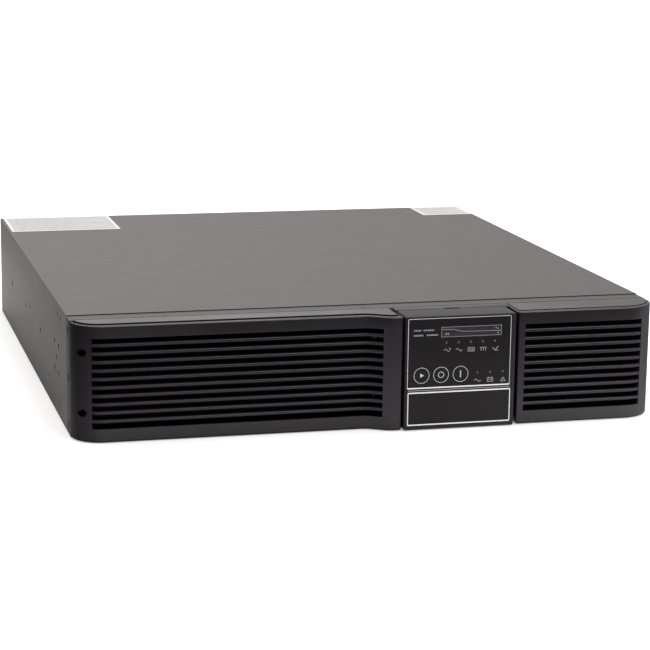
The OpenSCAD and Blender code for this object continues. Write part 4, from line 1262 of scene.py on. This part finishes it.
screw_set("strip_screw_set", STRIP_SCREW, "chassis", "strip_screws",
          [((x, FRONT + 9.5, 84.72), STRIP_TOP_KIND) for x in (-150, 0, 150)]
          + [((side * 218.62, FRONT + 8, z), dict(STRIP_SIDE_KIND, sign=side))
             for z in (7, 42, 77) for side in (1, -1)])
screw_set("bezel_screw_set", DARK_SCREW, "front_battery_bezel", "bezel_screws",
          [((-213.5, FRONT - 4.05, z), BEZEL_KIND) for z in (21.2, 65.2)])
screw_set("tray_screw_set", BRIGHT_SCREW, "battery_drawer", "tray_screws",
          [((6.5, FRONT - 1.42, z), TRAY_KIND) for z in (22, 64)])
screw_set("fan_screw_set", BRIGHT_SCREW, "chassis", "fan_screws",
          [((FAN_X + dx, BACK + 1.62, MID_Z + dz), FAN_KIND)
           for dx in (-FAN_HOLE, FAN_HOLE) for dz in (-FAN_HOLE, FAN_HOLE)])
screw_set("card_slot_screw_set", BRIGHT_SCREW, "chassis", "comm_slot_screws",
          [((x, BACK + 1.32, 62), CARD_KIND) for x in (23.5, 114.5)])


# ---------------------------------------------------------------- fan
def fan_rotor():
    """A hub with seven twisted, cambered blades."""
    blades = 7
    root_r, tip_r = 16.9, 36.9
    centre_y = BACK - 12.5
    bm = bmesh.new()
    hub = [(0, 9.1), (12, 9.1), (16.6, 8.8), (17.7, 7.8), (18, 6.6), (18, -9.1), (16.8, -9.1),
           (16.8, -6), (2.0, -6), (2.0, -13.5), (0, -13.5)]
    lathe(bm, hub, (FAN_X, centre_y, MID_Z), segments=56)
    for blade in range(blades):
        rings = []
        for j in range(9):
            radius = root_r + (tip_r - root_r) * j / 8
            pitch = math.radians(46 - 14 * j / 8)
            chord = 17.0 + 3.2 * j / 8
            sweep = math.radians(4 * j)
            ring = []
            for side, order in ((1, range(9)), (-1, range(8, -1, -1))):
                for i in order:
                    t = i / 8 - 0.5
                    arch = 1 - (2 * t) ** 2
                    u = t * chord
                    v = 0.11 * chord * arch + side * (0.75 * arch + 0.2) / 2
                    along = u * math.sin(pitch) * 0.95 + v * math.cos(pitch)
                    along = max(-8.8, min(8.2, along))
                    turn = (2 * math.pi * blade / blades + sweep
                            + (u * math.cos(pitch) - v * math.sin(pitch)) / radius)
                    ring.append(bm.verts.new(mm(FAN_X + radius * math.cos(turn),
                                                centre_y + along,
                                                MID_Z + radius * math.sin(turn))))
            rings.append(ring)
        loft(bm, rings)
    finish(bm, "fan_rotor_blades", BLACK, "fan_rotor", "fan_rotor")


# ---------------------------------------------------------------- battery drawer
def batteries():
    """Four blocks, each with a lid on the side towards the middle of the drawer."""
    low, high = extent("battery_blocks")
    z0, z1 = low.z, high.z
    length, seam = 151, 0.35
    bm = bmesh.new()
    for x0, x1, case_x, lid_x in ((-203, -109, (-203, -116), (-115.9, -109.4)),
                                  (-95, -1, (-88, -1), (-94.6, -88.1))):
        for y0 in (FRONT + 6, FRONT + 161):
            y1 = y0 + length
            add_box(bm, case_x, (y0, y1), (z0, z1), 1.4, 3)
            add_box(bm, lid_x, (y0 + seam, y1 - seam), (z0 + seam, z1 - seam), 1.0, 3)
            for k in range(5):
                y = y0 + 15 + k * 30
                add_box(bm, (x0 + 10, x1 - 10), (y - 0.6, y + 0.6), (z1 - 0.3, z1))
    finish(bm, "battery_block_set", BATTERY, "battery_drawer",
           "battery_blocks", smooth=35)


def pull_strap():
    """A flat loop of webbing ahead of the tray, with a slight bow and turned-in ends."""
    x0, x1 = -141.0, -65.0
    fold_r, bend_r = 0.6, 4
    # one end, from its tail to the front run: (x from that end, y from the case front)
    end = [(9.5, 3.0), (0.9, 3.0)]
    end += [(fold_r - fold_r * math.sin(t), 2.4 + fold_r * math.cos(t)) for t in quarter(4)]
    end.append((0, -1.2))
    end += [(bend_r - bend_r * math.cos(t), -3.0 - bend_r * math.sin(t)) for t in quarter(6)]
    path = [(x0 + x, FRONT + y) for x, y in end]
    for i in range(1, 14):
        t = i / 14
        path.append((x0 + bend_r + (x1 - x0 - 2 * bend_r) * t,
                     FRONT - 7.0 - 0.25 * math.sin(math.pi * t)))
    path += [(x1 - x, FRONT + y) for x, y in reversed(end)]
    # (z, half thickness)
    section = [(30.6, 0.175), (30.9, 0.45), (31.6, 0.5), (36, 0.5), (42, 0.5), (48, 0.5),
               (52.4, 0.5), (53.1, 0.45), (53.4, 0.175)]
    loop = section + [(z, -half) for z, half in reversed(section)]
    bm = bmesh.new()
    rings = []
    for i, (x, y) in enumerate(path):
        before = Vector(path[max(0, i - 1)])
        after = Vector(path[min(len(path) - 1, i + 1)])
        way = (after - before).normalized()
        rings.append([bm.verts.new(mm(x - way.y * off, y + way.x * off, z))
                      for z, off in loop])
    loft(bm, rings)
    finish(bm, "drawer_pull_strap", WEBBING, "battery_drawer", "pull_strap",
           smooth=50)


# ---------------------------------------------------------------- intake screen
def intake_screen():
    """Crossed bars in a frame, with a sheet behind them."""
    low, high = extent("dust_screen")
    x0, x1, y0, y1, z0, z1 = low.x, high.x, low.y, high.y, low.z, high.z
    rail, pitch, half, sunk = 3, 1.9, 0.5, 2.9
    middle = (y0 + y1) / 2
    inner_x, inner_z = (x0 + sunk, x1 - sunk), (z0 + sunk, z1 - sunk)
    bm = bmesh.new()
    for x_range, z_range in (((x0, x0 + rail), (z0, z1)), ((x1 - rail, x1), (z0, z1)),
                             ((x0 + rail, x1 - rail), (z0, z0 + rail)),
                             ((x0 + rail, x1 - rail), (z1 - rail, z1))):
        add_box(bm, x_range, (y0, y1), z_range)
    width, height = x1 - x0 - 2 * rail, z1 - z0 - 2 * rail
    count = int(width / pitch)
    for i in range(1, count):
        x = x0 + rail + width * i / count
        add_box(bm, (x - half, x + half), (middle - 0.5, middle + 0.05), inner_z)
    count = int(height / pitch)
    for i in range(1, count):
        z = z0 + rail + height * i / count
        add_box(bm, inner_x, (middle - 0.05, middle + 0.5), (z - half, z + half))
    add_box(bm, inner_x, (middle + 0.45, y1 - 0.1), inner_z)
    finish(bm, "intake_mesh_screen", SCREEN, "chassis", "dust_screen",
           smooth=20)


fan_rotor()
batteries()
pull_strap()
intake_screen()

# ---------------------------------------------------------------- pieces kept as packed
# node: (material, edge radius)
PACKED = {
    "bay_divider": (ZINC, 0.25), "tray_guides": (ZINC, 0.25),
    "level_meters": (METER, 0.12), "display_board": (GREEN_BOARD, 0.1),
    "display_cable": (CABLE, 0.12), "battery_tray": (SHADE_BLACK_SHEET, 0.3),
    "battery_tabs": (TIN, 0.08), "battery_links": (RED, 0.12), "battery_clamps": (ZINC, 0.3),
    "drawer_plug": (RED, 0.5), "bay_socket": (BLACK, 0.5),
    "transformer_core": (CORE, 0.4), "transformer_coil": (COPPER, 2.0),
    "transformer_brackets": (ZINC, 0.3), "main_board": (GREEN_BOARD, 0.1),
    "board_standoffs": (BRASS, 0.15), "heat_sinks": (ALUMINIUM, 0.25),
    "power_transistors": (BLACK, 0.15), "bulk_capacitors": (CAPACITOR, 0.8),
    "relays": (RELAY, 0.6), "choke": (COPPER, 0.3), "fuses": (CERAMIC, 0.2),
    "control_board": (BLUE_BOARD, 0.1), "bay_wires": (RED, 0.0),
    "fan_frame": (BLACK, 0.5), "fan_guard": (CHROME, 0.0),
    "inlet_body": (BLACK, 0.5), "inlet_pins": (BRASS, 0.3), "outlets": (BLACK, 0.35),
    "breaker_body": (BLACK, 0.3), "breaker_button": (IVORY, 0.5), "data_ports": (SHELL, 0.2),
    "surge_jacks": (BLACK, 0.25), "shutdown_terminal": (GREEN, 0.2),
    "pack_connector": (CONNECTOR, 0.5),
}
for node, (material, radius) in PACKED.items():
    dress(node, material, radius)


# ---------------------------------------------------------------- studio, in metres
def floor_material():
    """Pale to the camera; to every other ray a grey sweep that changes with place."""
    under, ahead_tone, behind_tone = 0.60, 1.0, 0.50    # tone in each zone along Y
    sh = Shader("studio_floor_mat")
    camera_ray = sh.node("ShaderNodeLightPath").outputs["Is Camera Ray"]
    pale = sh.mix(sh.ramp(sh.noise(2, detail=2)), (0.88, 0.88, 0.88), (0.9, 0.9, 0.9))
    position = sh.node("ShaderNodeNewGeometry").outputs["Position"]
    place = sh.axes(position)
    ahead = sh.ramp(place["Y"], span=(-0.62, -0.27), out=(0.12, ahead_tone))
    behind = sh.ramp(place["Y"], span=(-0.05, 0.55), out=(0.0, behind_tone))
    drop = sh.ramp(place["Y"], span=(-0.26, -0.10), out=(0.0, ahead_tone - under))
    tone = sh.math("ADD", sh.math("SUBTRACT", ahead, drop), behind)
    # dimmer far to the left
    tone = sh.math("MULTIPLY", tone, sh.ramp(place["X"], span=(-0.42, -0.27), out=(0.05, 1.0)))
    grey = sh.mix(tone, (0, 0, 0), (1.0, 0.965, 0.95))
    sh.set("Base Color", sh.mix(camera_ray, grey, pale))
    sh.set("Roughness", 0.9)
    sh.set("Specular IOR Level", 0.1)
    sh.set("Emission Color", (1, 1, 1))
    distance = sh.node("ShaderNodeVectorMath", operation="LENGTH")
    sh.feed(distance.inputs[0], position)
    seen = sh.math("MULTIPLY", camera_ray,
                   sh.ramp(distance.outputs["Value"], span=(0.7, 2.6), out=(0.35, 1.2)))
    # a strip of light just ahead of the bezels, stronger to the right
    strip = sh.math("MULTIPLY", sh.ramp(place["Y"], span=(-0.37, -0.27)),
                    sh.ramp(place["Y"], span=(-0.235, -0.20), out=(1.0, 0.0)))
    strip = sh.math("MULTIPLY", strip,
                    sh.ramp(place["X"], span=(0.06, 0.20), out=(0.08, 0.70)))
    strip = sh.math("MULTIPLY", strip, sh.math("SUBTRACT", 1.0, camera_ray))
    sh.set("Emission Strength", sh.math("ADD", seen, strip))
    return sh.material


def studio_floor():
    half, count = 6, 12
    bm = bmesh.new()
    marks = [-half + 2 * half * i / count for i in range(count + 1)]
    grid = [[bm.verts.new((x, y, 0)) for y in marks] for x in marks]
    for i in range(count):
        for j in range(count):
            bm.faces.new((grid[i][j], grid[i + 1][j], grid[i + 1][j + 1], grid[i][j + 1]))
    ob = to_object(bm, "studio_floor")
    ob.data.materials.append(floor_material())
    ob.location.z = -0.0002


def studio_world():
    """White to the camera; otherwise a warm surround, brightest behind and above."""
    world = bpy.data.worlds.new("studio")
    bpy.context.scene.world = world
    world.use_nodes = True
    graph = Graph(world.node_tree)
    output = graph.node("ShaderNodeOutputWorld")
    background = graph.node("ShaderNodeBackground")
    graph.feed(output.inputs[0], background.outputs[0])
    way = graph.axes(graph.node("ShaderNodeTexCoord").outputs["Generated"])
    # front to back, then darker far left, then dimmer right, then a lift from above
    light = graph.ramp(way["Y"], span=(-0.7, 0.9), out=(0.24, 1.0), smooth=True)
    light = graph.math("MULTIPLY", light, graph.ramp(way["X"], span=(-0.75, -0.35),
                                                     out=(0.25, 1.0), smooth=True))
    light = graph.math("MULTIPLY", light, graph.ramp(way["X"], span=(0.12, 0.48),
                                                     out=(1.05, 0.70), smooth=True))
    light = graph.math("ADD", light, graph.ramp(way["Z"], span=(0.1, 1.0),
                                                out=(0.0, 0.3), smooth=True))
    camera_ray = graph.node("ShaderNodeLightPath").outputs["Is Camera Ray"]
    strength = graph.node("ShaderNodeMix", data_type="FLOAT")
    graph.feed(strength.inputs[0], camera_ray)
    graph.feed(strength.inputs[2], light)
    graph.feed(strength.inputs[3], 1.0)
    graph.feed(background.inputs["Strength"], strength.outputs[0])
    graph.feed(background.inputs["Color"],
               graph.mix(camera_ray, (1, 0.972, 0.960), (1, 1, 1)))


def area_light(name, place, target, size, power, colour=(1, 1, 1)):
    data = bpy.data.lights.new(name, "AREA")
    data.shape = "RECTANGLE"
    data.size, data.size_y = size
    data.energy = power
    data.color = colour
    ob = new_object(data, name)
    ob.location = place
    ob.rotation_mode = "QUATERNION"
    ob.rotation_quaternion = (Vector(target) - Vector(place)).to_track_quat("-Z", "Y")


def studio_camera():
    """A long lens ahead of the case, to its left and a little above."""
    data = bpy.data.cameras.new("camera")
    ob = new_object(data, "camera")
    right = Vector((0.96752, -0.25243, 0.01354))
    up = Vector((0.03974, 0.20479, 0.97801))
    forward = Vector((0.24965, 0.94570, -0.20817))
    pose = Matrix((right, up, -forward)).transposed().to_4x4()
    pose.translation = Vector((-0.41695, -1.45817 + FRONT * MM, 0.39576))
    ob.matrix_world = pose
    data.lens = 116.35366
    data.sensor_width = 36
    data.clip_start, data.clip_end = 0.05, 50
    bpy.context.scene.camera = ob


studio_floor()
studio_world()
area_light("overhead_softbox", place=(0.1, 0.3, 2.4), target=(0, 0, 0), size=(2.6, 2.2),
           power=42)
area_light("front_softbox", place=(1.3, -1.9, 2.1), target=(0.2, -0.25, 0.05),
           size=(1.8, 0.8), power=33, colour=(0.97, 0.98, 1.0))
studio_camera()
bpy.context.scene.view_settings.view_transform = "Standard"
bpy.context.scene.view_settings.look = "None"
